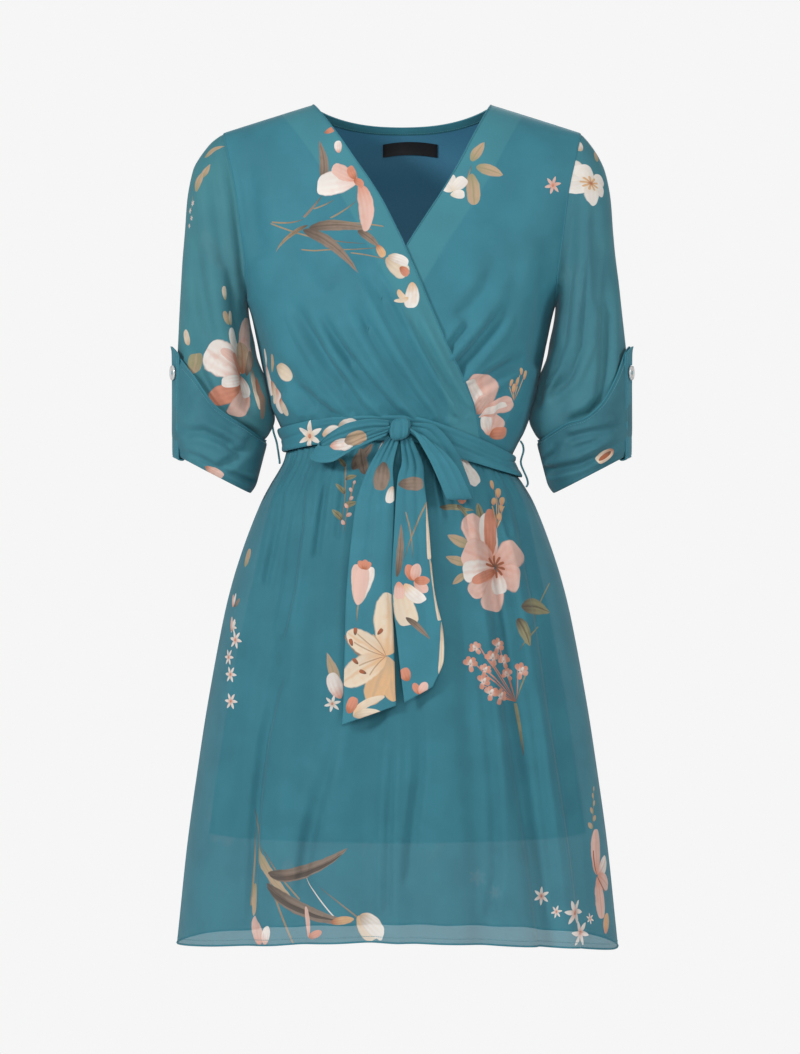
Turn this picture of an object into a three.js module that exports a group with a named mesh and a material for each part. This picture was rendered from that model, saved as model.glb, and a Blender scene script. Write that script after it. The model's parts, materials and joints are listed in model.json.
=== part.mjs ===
// A short wrap dress in printed chiffon, hollow and standing in the form that it takes when worn.
// Millimetres, +Z up, the front faces -Y. Heights in this file are measured from the neck side of the
// shoulder seams and depths from the side seams; the whole dress is then moved to put the origin at the nape.
// Sides are the wearer's: the right sleeve is at -X, on the left of someone who faces the dress.
import * as THREE from "three";
import { mergeVertices } from "three/addons/utils/BufferGeometryUtils.js";

// Driving sizes
const CLOTH = 1.2; // thickness of every cloth wall
const DOUBLE_CLOTH = 2; // where cloth is folded on itself
const SEAM = 0.3; // gap between sewn pieces
const NECK_SIDE = { x: 95, z: 0 }; // where shoulder seam and neck edge meet
const SHOULDER_TIP = { x: 190, z: -30 }; // where shoulder seam and armhole meet
const SHOULDER_ROLL = 70; // height over which the cloth rolls over the shoulder
const BACK_NECK_DROP = 15; // the nape lies this far below the shoulder seams' neck ends
const ARMPIT_Z = -213;
const LINING_HEM_Z = -775;

// Section of the body at each level: half width, depth in front of and behind the side seams, shift to the left
const BODY = [
  { z: 5, half: 222, front: 62, back: 62, shift: 0 },
  { z: -53, half: 214, front: 70, back: 74, shift: 0 },
  { z: -92, half: 203, front: 79, back: 86, shift: 0 },
  { z: -136, half: 192, front: 93, back: 94, shift: 0 },
  { z: -184, half: 177, front: 108, back: 96, shift: 0 },
  { z: -213, half: 163, front: 115, back: 94, shift: 0 },
  { z: -251, half: 154, front: 118, back: 91, shift: 0 },
  { z: -285, half: 147, front: 112, back: 88, shift: 0 },
  { z: -320, half: 139, front: 101, back: 84, shift: 0.5 },
  { z: -347, half: 128.5, front: 92, back: 81, shift: 1.5 },
  { z: -362, half: 122, front: 89, back: 81, shift: 0 },
  { z: -379, half: 120, front: 89, back: 84, shift: -5 },
  { z: -391, half: 125, front: 93, back: 90, shift: -6 },
  { z: -405, half: 134, front: 99, back: 98, shift: -5.5 },
  { z: -424, half: 144.5, front: 106, back: 107, shift: -5 },
  { z: -464, half: 160.5, front: 114, back: 119, shift: -5 },
  { z: -507, half: 174.5, front: 120, back: 127, shift: -5 },
  { z: -550, half: 185, front: 126, back: 132, shift: -5 },
  { z: -636, half: 201, front: 134, back: 139, shift: -5 },
  { z: -700, half: 211, front: 139, back: 143, shift: -5 },
  { z: -786, half: 223, front: 145, back: 148, shift: -5 },
  { z: -871, half: 232, front: 150, back: 151, shift: -5 },
  { z: -910, half: 236, front: 153, back: 153, shift: -5 },
];
const ARMHOLE = [
  { z: -213, x: 163 },
  { z: -184, x: 163 },
  { z: -136, x: 169.5 },
  { z: -92, x: 175.5 },
  { z: -53, x: 184.5 },
  { z: -30, x: 190 },
];
// Neck edges, seen from the front. The right front overlaps the left one; they cross below the breastbone.
const OVERLAP_EDGE = [
  { z: 0, x: -95 },
  { z: -66, x: -56 },
  { z: -126, x: -23 },
  { z: -183, x: 3 },
  { z: -263, x: 43 },
  { z: -288, x: 57 },
  { z: -306, x: 66 },
  { z: -335, x: 76 },
  { z: -362, x: 80 },
];
const UNDERLAP_EDGE = [
  { z: 0, x: -95 },
  { z: -106, x: -46 },
  { z: -180, x: -5 },
  { z: -270, x: 42 },
  { z: -362, x: 78 },
];
// Height of the waist seam and of the sash's middle, which the knot pulls up in front. `share` is the place
// across the body: -1 at the wearer's right side seam, 0 in the middle, 1 at the left side seam.
const WAIST_SEAM = {
  front: [
    { share: -1, z: -369 },
    { share: -0.45, z: -359 },
    { share: 0, z: -356 },
    { share: 0.45, z: -370 },
    { share: 1, z: -393 },
  ],
  back: [
    { share: -1, z: -369 },
    { share: 0, z: -379 },
    { share: 1, z: -393 },
  ],
};
const SASH_LINE = {
  front: [
    { share: -1, z: -357 },
    { share: -0.6, z: -348 },
    { share: -0.08, z: -346 },
    { share: 0.12, z: -348 },
    { share: 0.5, z: -364 },
    { share: 1, z: -386 },
  ],
  back: [
    { share: -1, z: -357 },
    { share: 0, z: -370 },
    { share: 1, z: -386 },
  ],
};
const SASH = { half: 13.5, lift: 4.6 };
// Height of the hem by the turn from the middle of the front, in degrees, to the wearer's left
const HEM = [
  { turn: -180, z: -894 },
  { turn: -120, z: -893 },
  { turn: -90, z: -894 },
  { turn: -45, z: -884 },
  { turn: -15, z: -876 },
  { turn: 15, z: -877 },
  { turn: 50, z: -887 },
  { turn: 75, z: -896 },
  { turn: 90, z: -897 },
  { turn: 130, z: -893 },
  { turn: 180, z: -894 },
];

// Creases of the fronts: both ends of each trough seen from the front, its half width and its share of the fullness
const OVERLAP = { lift: 1.9, full: 4, fullFrom: -140, fullTo: -230, waist: -334, waistFade: 22 };
const OVERLAP_CREASES = [
  { topX: -120, topZ: -262, endX: -96, endZ: -345, half: 10, share: 0.8 },
  { topX: -104, topZ: -216, endX: -40, endZ: -336, half: 8, share: 1 },
  { topX: -82, topZ: -232, endX: -3, endZ: -338, half: 8, share: 1 },
  { topX: -62, topZ: -252, endX: -22, endZ: -336, half: 7, share: 0.7 },
  { topX: -40, topZ: -214, endX: 27, endZ: -338, half: 7, share: 0.9 },
  { topX: -44, topZ: -176, endX: 45, endZ: -340, half: 9, share: 1 },
];
const UNDERLAP = { depth: 5 };
const UNDERLAP_CREASES = [
  { topX: 112, topZ: -224, endX: 58, endZ: -286, half: 10, share: 1 },
  { topX: 120, topZ: -276, endX: 80, endZ: -296, half: 9, share: 0.7 },
];
const BACK = { depth: 4 };
const BACK_CREASES = [
  { topX: -108, topZ: -262, endX: -84, endZ: -352, half: 11, share: 0.7 },
  { topX: -58, topZ: -288, endX: -48, endZ: -358, half: 9, share: 0.6 },
  { topX: 4, topZ: -296, endX: 2, endZ: -364, half: 10, share: 0.6 },
  { topX: 62, topZ: -286, endX: 50, endZ: -366, half: 9, share: 0.7 },
  { topX: 104, topZ: -258, endX: 86, endZ: -366, half: 11, share: 0.8 },
];

// Folds of the skirt: where each trough lies seen from the front (x at waist, middle and hem), half width, depth
const SKIRT_FOLDS = {
  front: [
    { waist: -94, mid: -146, hem: -166, half: 24, depth: 13 },
    { waist: -62, mid: -88, hem: -104, half: 17, depth: 9 },
    { waist: -22, mid: -30, hem: -30, half: 18, depth: 13 },
    { waist: 8, mid: 14, hem: 20, half: 14, depth: 6 },
    { waist: 44, mid: 80, hem: 92, half: 17, depth: 9 },
    { waist: 74, mid: 124, hem: 162, half: 15, depth: 16 },
    { waist: 104, mid: 170, hem: 205, half: 17, depth: 13 },
  ],
  back: [
    { waist: -94, mid: -146, hem: -172, half: 20, depth: 13 },
    { waist: -62, mid: -96, hem: -118, half: 17, depth: 10 },
    { waist: -30, mid: -48, hem: -62, half: 19, depth: 14 },
    { waist: 0, mid: -2, hem: 0, half: 16, depth: 9 },
    { waist: 30, mid: 46, hem: 58, half: 19, depth: 14 },
    { waist: 62, mid: 94, hem: 114, half: 17, depth: 10 },
    { waist: 94, mid: 146, hem: 170, half: 20, depth: 13 },
  ],
};
const FOLD_LEVELS = { waist: -372, mid: -640, hem: -895 };
const FOLD_GROWTH = 150; // the folds reach their full depth this far below the waist
const GATHERS = { front: 18, back: 16, depth: 1.8, fade: 90 }; // small pleats that die out below the sash
const LINING_INSET = { top: 4.2, low: 21, below: 7 }; // the lining hangs straight inside the folds
const WAIST_GAP = 0.8; // between bodice and skirt

// Sleeve rings: each is a tilted ellipse between an outer and an inner point, seen from the front
const SLEEVE = [
  { outX: 203, outZ: -37, inX: 166.5, inZ: -218, depth: 47 },
  { outX: 213, outZ: -48, inX: 164.6, inZ: -226, depth: 49 },
  { outX: 222, outZ: -67, inX: 161.8, inZ: -238, depth: 51 },
  { outX: 228.5, outZ: -96, inX: 158.6, inZ: -252, depth: 52.5 },
  { outX: 231.5, outZ: -134, inX: 155.2, inZ: -270, depth: 53.5 },
  { outX: 234.5, outZ: -174, inX: 151.4, inZ: -290, depth: 54 },
  { outX: 237, outZ: -214, inX: 147, inZ: -312, depth: 54.5 },
  { outX: 238.5, outZ: -246, inX: 143.5, inZ: -334, depth: 54.5 },
  { outX: 239.4, outZ: -268, inX: 147.5, inZ: -350, depth: 54 },
  { outX: 239.4, outZ: -290, inX: 151.5, inZ: -362, depth: 53.5 },
  { outX: 239.2, outZ: -318, inX: 157, inZ: -382, depth: 53 },
  { outX: 239.2, outZ: -345, inX: 161.5, inZ: -398, depth: 52 },
  { outX: 239.4, outZ: -368.5, inX: 164.8, inZ: -410.5, depth: 51.6 },
];
const SLEEVE_EASE = 3; // rings over which the armhole's shape turns into the sleeve's own
const SLEEVE_START = { shoulder: 0.9, armpit: 4.2 }; // how far outside the armhole the sleeve begins
const SLEEVES = [
  { side: "right", sign: -1, slim: 0 },
  { side: "left", sign: 1, slim: 6.5 }, // this one hangs closer above its cuff
];
const SLIM_RINGS = { full: 5, none: 9 };
// Folds of a sleeve: turn in degrees from its outer line to the front, first and last ring, half width, depth
const SLEEVE_FOLDS = [
  { turn: 62, from: 4, to: 9, half: 15, depth: 4 },
  { turn: 118, from: 2, to: 9, half: 15, depth: 7 },
  { turn: -64, from: 4, to: 9, half: 15, depth: 4 },
  { turn: -116, from: 2, to: 9, half: 15, depth: 6 },
];
const CUFF = {
  top: { outX: 242, outZ: -262, inX: 147, inZ: -356, depth: 57 },
  bottom: { outX: 241, outZ: -370, inX: 163, inZ: -412, depth: 53.5 },
};
const TAB = { turn: 24, half: 12.5, wall: 1.6 }; // the tab sits this many degrees to the front of the outer line
// Path of the tab's middle: distance from the cuff's inner face, and level as a share of the cuff from its top
const TAB_PATH = [
  { off: -3.8, level: 0.95 },
  { off: -3.8, level: 1.01 },
  { off: -2, level: 1.045 },
  { off: 1.8, level: 1.045 },
  { off: 3.6, level: 1.01 },
  { off: 3.6, level: 0.75 },
  { off: 3.6, level: 0.45 },
  { off: 3.6, level: 0.15 },
  { off: 4, level: 0.02 },
  { off: 6, level: -0.05 },
  { off: 11, level: -0.1 },
];
const TAB_BUTTON = { radius: 8, wall: 2.6, chamfer: 0.8, level: 0.19, seat: 5 };

// Knot and bow of the sash
const KNOT = { x: -2, z: -348.5, lift: 16, halfX: 10.5, halfY: 8, halfZ: 11.5, wide: 12, high: 8 };
// Each strip: middle of a section seen from the front, lift off the body, and the vector from there to one edge
const BOW = {
  bow_loop_right: [
    { x: -11.8, z: -346, lift: 13, edgeX: 0, edgeZ: 6 },
    { x: -32, z: -347, lift: 10, edgeX: 1, edgeZ: 9 },
    { x: -54, z: -352, lift: 11, edgeX: 2, edgeZ: 10 },
    { x: -72, z: -361, lift: 13, edgeX: 4, edgeZ: 9 },
    { x: -80, z: -369, lift: 17, edgeX: 4, edgeZ: 7 },
    { x: -73, z: -374, lift: 22, edgeX: 4, edgeZ: 8 },
    { x: -55, z: -372, lift: 26, edgeX: 5, edgeZ: 10 },
    { x: -35, z: -361, lift: 26, edgeX: 7, edgeZ: 9 },
    { x: -11.5, z: -350, lift: 20, edgeX: 2, edgeZ: 5 },
  ],
  bow_loop_left: [
    { x: 8.4, z: -347, lift: 13, edgeX: -1, edgeZ: -5 },
    { x: 24, z: -353, lift: 11, edgeX: -8, edgeZ: -8 },
    { x: 37, z: -371, lift: 12, edgeX: -12, edgeZ: -5 },
    { x: 47, z: -393, lift: 12, edgeX: -12, edgeZ: -3 },
    { x: 54, z: -412, lift: 13, edgeX: -12, edgeZ: 0 },
    { x: 52, z: -421, lift: 19, edgeX: -12, edgeZ: 0 },
    { x: 44, z: -407, lift: 26, edgeX: -12, edgeZ: 2 },
    { x: 33, z: -382, lift: 27, edgeX: -12, edgeZ: 4 },
    { x: 21, z: -361, lift: 25, edgeX: -9, edgeZ: 5 },
    { x: 8.4, z: -350, lift: 20, edgeX: -2, edgeZ: 3 },
  ],
  sash_tail_right: [
    { x: -8, z: -357.7, lift: 15, edgeX: -5, edgeZ: 2.6 },
    { x: -20, z: -386, lift: 11, edgeX: -11, edgeZ: 1 },
    { x: -25, z: -412, lift: 7, edgeX: -17, edgeZ: 0 },
    { x: -28, z: -436, lift: 5, edgeX: -20, edgeZ: 0 },
    { x: -33, z: -513, lift: 4, edgeX: -23, edgeZ: 0 },
    { x: -33, z: -576, lift: 4, edgeX: -25, edgeZ: -3 },
    { x: -33, z: -622, lift: 5, edgeX: -26, edgeZ: -7 },
    { x: -33, z: -643, lift: 6, edgeX: -27, edgeZ: -10 },
  ],
  sash_tail_left: [
    { x: 3.6, z: -358.6, lift: 16, edgeX: 5, edgeZ: 1.5 },
    { x: 9, z: -384, lift: 12, edgeX: 10, edgeZ: 0 },
    { x: 8, z: -402, lift: 11, edgeX: 13, edgeZ: 0 },
    { x: 9, z: -453, lift: 9, edgeX: 17, edgeZ: 0 },
    { x: 10.5, z: -515, lift: 8, edgeX: 21, edgeZ: 0 },
    { x: 17, z: -556, lift: 7, edgeX: 23, edgeZ: 2 },
    { x: 20, z: -590, lift: 7, edgeX: 22, edgeZ: 6 },
    { x: 16, z: -622, lift: 8, edgeX: 14, edgeZ: 8 },
  ],
};
const BOW_FACES = 3; // faces across a strip
// Thread loops that hold the sash at the side seams: the route's distance from the side and its height
const CARRIERS = {
  sash_carrier_right: {
    sign: -1,
    route: [
      { off: 2.7, z: -326 },
      { off: 7, z: -333 },
      { off: 9.5, z: -342 },
      { off: 11.5, z: -352 },
      { off: 11.5, z: -363 },
      { off: 9, z: -372 },
      { off: 6, z: -379 },
      { off: 4.8, z: -382 },
    ],
  },
  sash_carrier_left: {
    sign: 1,
    route: [
      { off: 2.8, z: -358 },
      { off: 8, z: -363 },
      { off: 12, z: -371 },
      { off: 12, z: -384 },
      { off: 11, z: -395 },
      { off: 7.5, z: -403 },
      { off: 3.4, z: -407 },
    ],
  },
};
const THREAD = { radius: 1.1, faces: 6, steps: 14 };
const LABEL = { x: 9, z: -36, halfX: 30, halfZ: 7, arch: 3 };

// Materials
const PRINTED = new THREE.MeshStandardMaterial({ color: 0x3f8391, roughness: 0.75, metalness: 0 });
const LINING = new THREE.MeshStandardMaterial({ color: 0x2f6c88, roughness: 0.7, metalness: 0 });
const SATIN = new THREE.MeshStandardMaterial({ color: 0x14161c, roughness: 0.5, metalness: 0 });
const PEARL = new THREE.MeshStandardMaterial({ color: 0xd8d8d4, roughness: 0.25, metalness: 0.4 });

// Small maths
const RIGHT_ANGLE = Math.PI / 2;
const radians = (degrees) => (degrees * Math.PI) / 180;
const mix = (a, b, t) => a + (b - a) * t;
const clamp = (t, low = 0, high = 1) => Math.min(high, Math.max(low, t));
const smooth = (t) => clamp(t) ** 2 * (3 - 2 * clamp(t));
const bell = (t) => Math.exp(-t * t);

// Reads a column of a table along a smooth curve through its rows, which may rise or fall
function read(table, key, at, by = "z") {
  const last = table.length - 1;
  const rising = table[0][by] < table[last][by];
  const row = (i) => table[rising ? i : last - i];
  const value = clamp(at, row(0)[by], row(last)[by]);
  let i = 0;
  while (i < last - 1 && row(i + 1)[by] < value) i++;
  const slope = (j) => {
    const a = row(Math.max(0, j - 1));
    const b = row(Math.min(last, j + 1));
    return (b[key] - a[key]) / (b[by] - a[by]);
  };
  const span = row(i + 1)[by] - row(i)[by];
  const t = (value - row(i)[by]) / span;
  const start = row(i)[key] * (1 + 2 * t) * (1 - t) ** 2 + slope(i) * span * t * (1 - t) ** 2;
  const end = row(i + 1)[key] * t * t * (3 - 2 * t) - slope(i + 1) * span * t * t * (1 - t);
  return start + end;
}

// Reads every column of a list of sections at a place between its first (0) and its last (1)
function section(rows, t) {
  const numbered = rows.map((row, i) => ({ ...row, order: i / (rows.length - 1) }));
  const keys = Object.keys(rows[0]);
  return Object.fromEntries(keys.map((key) => [key, read(numbered, key, t, "order")]));
}

// Body surface. A side is "front" or "back"; the angle is 0 in the middle and a right angle at the side seams.
const shoulderZ = (x) => {
  const fall = (NECK_SIDE.z - SHOULDER_TIP.z) / (SHOULDER_TIP.x - NECK_SIDE.x);
  return NECK_SIDE.z + (NECK_SIDE.x - Math.abs(x)) * fall;
};
const facing = (side) => (side === "front" ? -1 : 1);
const angleAt = (x, z) => Math.asin(clamp((x - read(BODY, "shift", z)) / read(BODY, "half", z), -1, 1));

function bodyPoint(side, angle, z) {
  const x = read(BODY, "half", z) * Math.sin(angle) + read(BODY, "shift", z);
  const below = clamp((shoulderZ(x) - z) / SHOULDER_ROLL);
  const roll = Math.sqrt(1 - (1 - below) ** 2);
  const depth = read(BODY, side, z) * Math.cos(angle) * roll;
  return new THREE.Vector3(x, facing(side) * (depth + SEAM / 2), z);
}
const awayFromMiddle = (side, angle) => new THREE.Vector3(Math.sin(angle), facing(side) * Math.cos(angle), 0);
const onBody = (side, x, z) => bodyPoint(side, angleAt(x, z), z);
const waistZ = (side, angle) => read(WAIST_SEAM[side], "z", Math.sin(angle), "share");

// Angle of the side seam, and above the armpit of the armhole's edge
function sideAngle(z, sign) {
  return z <= ARMPIT_Z ? sign * RIGHT_ANGLE : angleAt(sign * read(ARMHOLE, "x", z), z);
}

// Height along a panel: steps that widen above the waist, then even steps of its turn over the shoulder
const ROLL_SHARE = 0.25;
const WIDENING = 1.35;
function heightAt(v, bottom, top) {
  if (v < 1 - ROLL_SHARE) return mix(bottom, top - SHOULDER_ROLL, (v / (1 - ROLL_SHARE)) ** WIDENING);
  return top - SHOULDER_ROLL * (1 - Math.cos(((1 - v) / ROLL_SHARE) * RIGHT_ANGLE));
}

// A front panel between its side seam and armhole (u = 0) and its neck edge (u = 1)
function frontPanel(sign, edge, edgeSign) {
  const edgeX = (z) => edgeSign * read(edge, "x", z);
  const last = edge[edge.length - 1].z;
  const sideBottom = waistZ("front", sign * RIGHT_ANGLE);
  const edgeBottom = waistZ("front", angleAt(edgeX(last), last));
  return (u, v) => {
    const outerZ = heightAt(v, sideBottom, SHOULDER_TIP.z);
    const innerZ = heightAt(v, edgeBottom, NECK_SIDE.z);
    const angle = mix(sideAngle(outerZ, sign), angleAt(edgeX(innerZ), innerZ), u);
    const plain = mix(outerZ, innerZ, u);
    const x = read(BODY, "half", plain) * Math.sin(angle) + read(BODY, "shift", plain);
    const toShoulder = shoulderZ(x) - mix(SHOULDER_TIP.z, NECK_SIDE.z, u);
    const toWaist = waistZ("front", angle) - mix(sideBottom, edgeBottom, u);
    const z = plain + toShoulder * smooth(v / (1 - ROLL_SHARE)) + toWaist * (1 - smooth(v * 3));
    return bodyPoint("front", angle, z);
  };
}

// How much of a crease is felt at a point seen from the front, from 0 to its share
function creaseAt(row, p) {
  const dx = row.endX - row.topX;
  const dz = row.endZ - row.topZ;
  const along = ((p.x - row.topX) * dx + (p.z - row.topZ) * dz) / (dx * dx + dz * dz);
  const across = ((p.x - row.topX) * dz - (p.z - row.topZ) * dx) / Math.hypot(dx, dz);
  const fade = smooth(along * 2 + 0.3) * (1 - smooth((along - 1) * 4));
  return row.share * fade * bell(across / row.half);
}
const creased = (rows, p) => Math.max(...rows.map((row) => creaseAt(row, p)));

// Turns a closed geometry's faces round where they point inwards
function facingOut(geometry) {
  const position = geometry.getAttribute("position");
  const index = geometry.getIndex().array;
  const corners = [0, 1, 2].map(() => new THREE.Vector3());
  let volume = 0;
  for (let i = 0; i < index.length; i += 3) {
    corners.forEach((corner, k) => corner.fromBufferAttribute(position, index[i + k]));
    volume += corners[0].dot(corners[1].clone().cross(corners[2]));
  }
  for (let i = 0; volume < 0 && i < index.length; i += 3) {
    [index[i + 1], index[i + 2]] = [index[i + 2], index[i + 1]];
  }
  return geometry;
}

function geometryOf(points, faces) {
  const geometry = new THREE.BufferGeometry();
  const coordinates = points.flatMap((p) => p.toArray());
  geometry.setAttribute("position", new THREE.Float32BufferAttribute(coordinates, 3));
  geometry.setIndex(faces);
  return facingOut(geometry);
}

// Merges the shared points of one of three's own shapes, which leaves one closed body
function closed(geometry) {
  geometry.deleteAttribute("uv");
  geometry.deleteAttribute("normal");
  return facingOut(mergeVertices(geometry, 1e-3));
}

// A closed wall on a surface: two grids of points, moved off the surface by `from` and `to`, and their rims.
// `out` is roughly the way out of the body in the middle of the surface. A tube closes on itself along u.
function wall(surface, { columns, rows, from = 0, to = CLOTH, tube = false, out }) {
  const step = 1e-3;
  const normalAt = (u, v) => {
    const low = tube ? u - step : Math.max(0, u - step);
    const high = tube ? u + step : Math.min(1, u + step);
    const along = surface(high, v).sub(surface(low, v));
    const up = surface(u, Math.min(1, v + step)).sub(surface(u, Math.max(0, v - step)));
    return along.cross(up).normalize();
  };
  const turn = normalAt(0.5, 0.5).dot(out) < 0 ? -1 : 1;
  const lift = (value, u, v) => (typeof value === "function" ? value(u, v) : value);
  const across = tube ? columns : columns + 1;
  const grid = (value) => {
    const points = [];
    for (let j = 0; j <= rows; j++) {
      for (let i = 0; i < across; i++) {
        const [u, v] = [i / columns, j / rows];
        points.push(surface(u, v).addScaledVector(normalAt(u, v), turn * lift(value, u, v)));
      }
    }
    return points;
  };
  const at = (layer, i, j) => (layer * (rows + 1) + j) * across + (i % across);
  const faces = [];
  const quad = (a, b, c, d) => faces.push(a, b, c, a, c, d);
  for (let i = 0; i < columns; i++) {
    for (let j = 0; j < rows; j++) {
      quad(at(1, i, j), at(1, i + 1, j), at(1, i + 1, j + 1), at(1, i, j + 1));
      quad(at(0, i, j), at(0, i, j + 1), at(0, i + 1, j + 1), at(0, i + 1, j));
    }
    quad(at(0, i, 0), at(0, i + 1, 0), at(1, i + 1, 0), at(1, i, 0));
    quad(at(1, i, rows), at(1, i + 1, rows), at(0, i + 1, rows), at(0, i, rows));
  }
  for (let j = 0; j < rows && !tube; j++) {
    quad(at(1, 0, j), at(1, 0, j + 1), at(0, 0, j + 1), at(0, 0, j));
    quad(at(0, columns, j), at(0, columns, j + 1), at(1, columns, j + 1), at(1, columns, j));
  }
  return geometryOf([...grid(from), ...grid(to)], faces);
}

const AHEAD = new THREE.Vector3(0, -1, 0);
const BEHIND = new THREE.Vector3(0, 1, 0);
const dress = new THREE.Group();
dress.position.set(0, -onBody("back", 0, -BACK_NECK_DROP).y, BACK_NECK_DROP);

function add(name, geometry, material) {
  const mesh = new THREE.Mesh(geometry, material);
  mesh.name = name;
  dress.add(mesh);
  return mesh;
}

// Bodice fronts
const overlapSurface = frontPanel(-1, OVERLAP_EDGE, 1);
const underlapSurface = frontPanel(1, UNDERLAP_EDGE, -1);

function overlapLift(u, v) {
  const p = overlapSurface(u, v);
  const level = smooth((p.z - OVERLAP.fullFrom) / (OVERLAP.fullTo - OVERLAP.fullFrom));
  const waist = smooth((p.z - OVERLAP.waist) / OVERLAP.waistFade);
  const edges = smooth(u / 0.14) * smooth((1 - u) / 0.07);
  const full = OVERLAP.full * level * waist * edges;
  return OVERLAP.lift * smooth(u / 0.3) + full * (1 - creased(OVERLAP_CREASES, p));
}
function underlapLift(u, v) {
  const p = underlapSurface(u, v);
  return -UNDERLAP.depth * smooth(u / 0.12) * creased(UNDERLAP_CREASES, p);
}
function addFronts() {
  const overTo = (u, v) => overlapLift(u, v) + CLOTH;
  const underTo = (u, v) => underlapLift(u, v) + CLOTH;
  const over = { columns: 24, rows: 17, from: overlapLift, to: overTo, out: AHEAD };
  const under = { columns: 18, rows: 15, from: underlapLift, to: underTo, out: AHEAD };
  add("bodice_front_right", wall(overlapSurface, over), PRINTED);
  add("bodice_front_left", wall(underlapSurface, under), PRINTED);
}

// Bodice back: its top edge runs along one shoulder seam, the neck edge and the other shoulder seam
const NECK_REACH = 0.5; // share of each half of the back that ends on the neck edge
const NECK_ROUND = 2.6; // how square the neck curve is
function backTop(reach) {
  if (reach > NECK_REACH) {
    const x = mix(NECK_SIDE.x, SHOULDER_TIP.x, (reach - NECK_REACH) / (1 - NECK_REACH));
    return { x, z: shoulderZ(x) };
  }
  const share = reach / NECK_REACH;
  return { x: NECK_SIDE.x * share, z: NECK_SIDE.z - BACK_NECK_DROP * (1 - share ** NECK_ROUND) };
}
function backSurface(u, v) {
  const sign = u < 0.5 ? -1 : 1;
  const reach = Math.abs(2 * u - 1);
  const top = backTop(reach);
  const z = heightAt(v, waistZ("back", sign * reach * RIGHT_ANGLE), top.z);
  const topShare = angleAt(top.x, top.z) / sideAngle(top.z, 1);
  const angle = sideAngle(z, sign) * mix(reach, topShare, smooth(v));
  const point = bodyPoint("back", angle, z);
  const crease = smooth((1 - reach) / 0.2) * creased(BACK_CREASES, point);
  return point.addScaledVector(awayFromMiddle("back", angle), -BACK.depth * crease);
}
// The flat triangles of a surface's grid, for what lies on it
function facets(surface, columns, rows) {
  return (u, v) => {
    const i = clamp(Math.floor(u * columns), 0, columns - 1);
    const j = clamp(Math.floor(v * rows), 0, rows - 1);
    const [s, t] = [u * columns - i, v * rows - j];
    const corner = (di, dj) => surface((i + di) / columns, (j + dj) / rows);
    const [low, high] = [corner(0, 0), corner(1, 1)];
    const third = s > t ? corner(1, 0) : corner(0, 1);
    const [first, second] = s > t ? [s, t] : [t, s];
    return low.clone().addScaledVector(third.clone().sub(low), first).addScaledVector(high.sub(third), second);
  };
}
// Where a point near the nape lies on the back's grid, from its distance from the middle and below the neck edge
function nearNape(x, below) {
  const turn = Math.acos(1 - below / SHOULDER_ROLL) / RIGHT_ANGLE;
  return { u: 0.5 + (x / NECK_SIDE.x) * NECK_REACH * 0.5, v: 1 - ROLL_SHARE * turn };
}
const BACK_GRID = { columns: 20, rows: 13 };
const BEHIND_BACK = { inset: 0.5, label: 2.1, skin: 1 };

function addBack() {
  add("bodice_back", wall(backSurface, { ...BACK_GRID, out: BEHIND }), PRINTED);

  // The lining keeps the back's own rows and columns, but for its side columns and its top row. A binding
  // covers the top row between the shoulder seams.
  const panel = facets(backSurface, BACK_GRID.columns, BACK_GRID.rows);
  const { inset, skin } = BEHIND_BACK;
  const [side, top] = [1 / BACK_GRID.columns, 1 - 1 / BACK_GRID.rows];
  const hidden = { from: -inset - skin, to: -inset, out: BEHIND };
  const lining = { columns: BACK_GRID.columns - 2, rows: BACK_GRID.rows - 1, ...hidden };
  add("bodice_back_lining", wall((u, v) => panel(mix(side, 1 - side, u), v * top), lining), LINING);
  const [from, to] = [(1 - NECK_REACH) / 2, (1 + NECK_REACH) / 2];
  const binding = { columns: BACK_GRID.columns * NECK_REACH, rows: 1, ...hidden };
  add("neck_binding", wall((u, v) => panel(mix(from, to, u), mix(top, 1, mix(0.06, 0.97, v))), binding), PRINTED);

  const labelSurface = (u, v) => {
    const across = 2 * u - 1;
    const below = -BACK_NECK_DROP - LABEL.z - LABEL.halfZ * (2 * v - 1) + LABEL.arch * across * across;
    const place = nearNape(LABEL.x + LABEL.halfX * across, below);
    return panel(place.u, place.v);
  };
  const under = BEHIND_BACK.label;
  const label = { columns: 8, rows: 1, from: -under - skin, to: -under, out: BEHIND };
  add("back_neck_label", wall(labelSurface, label), SATIN);
}

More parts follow.
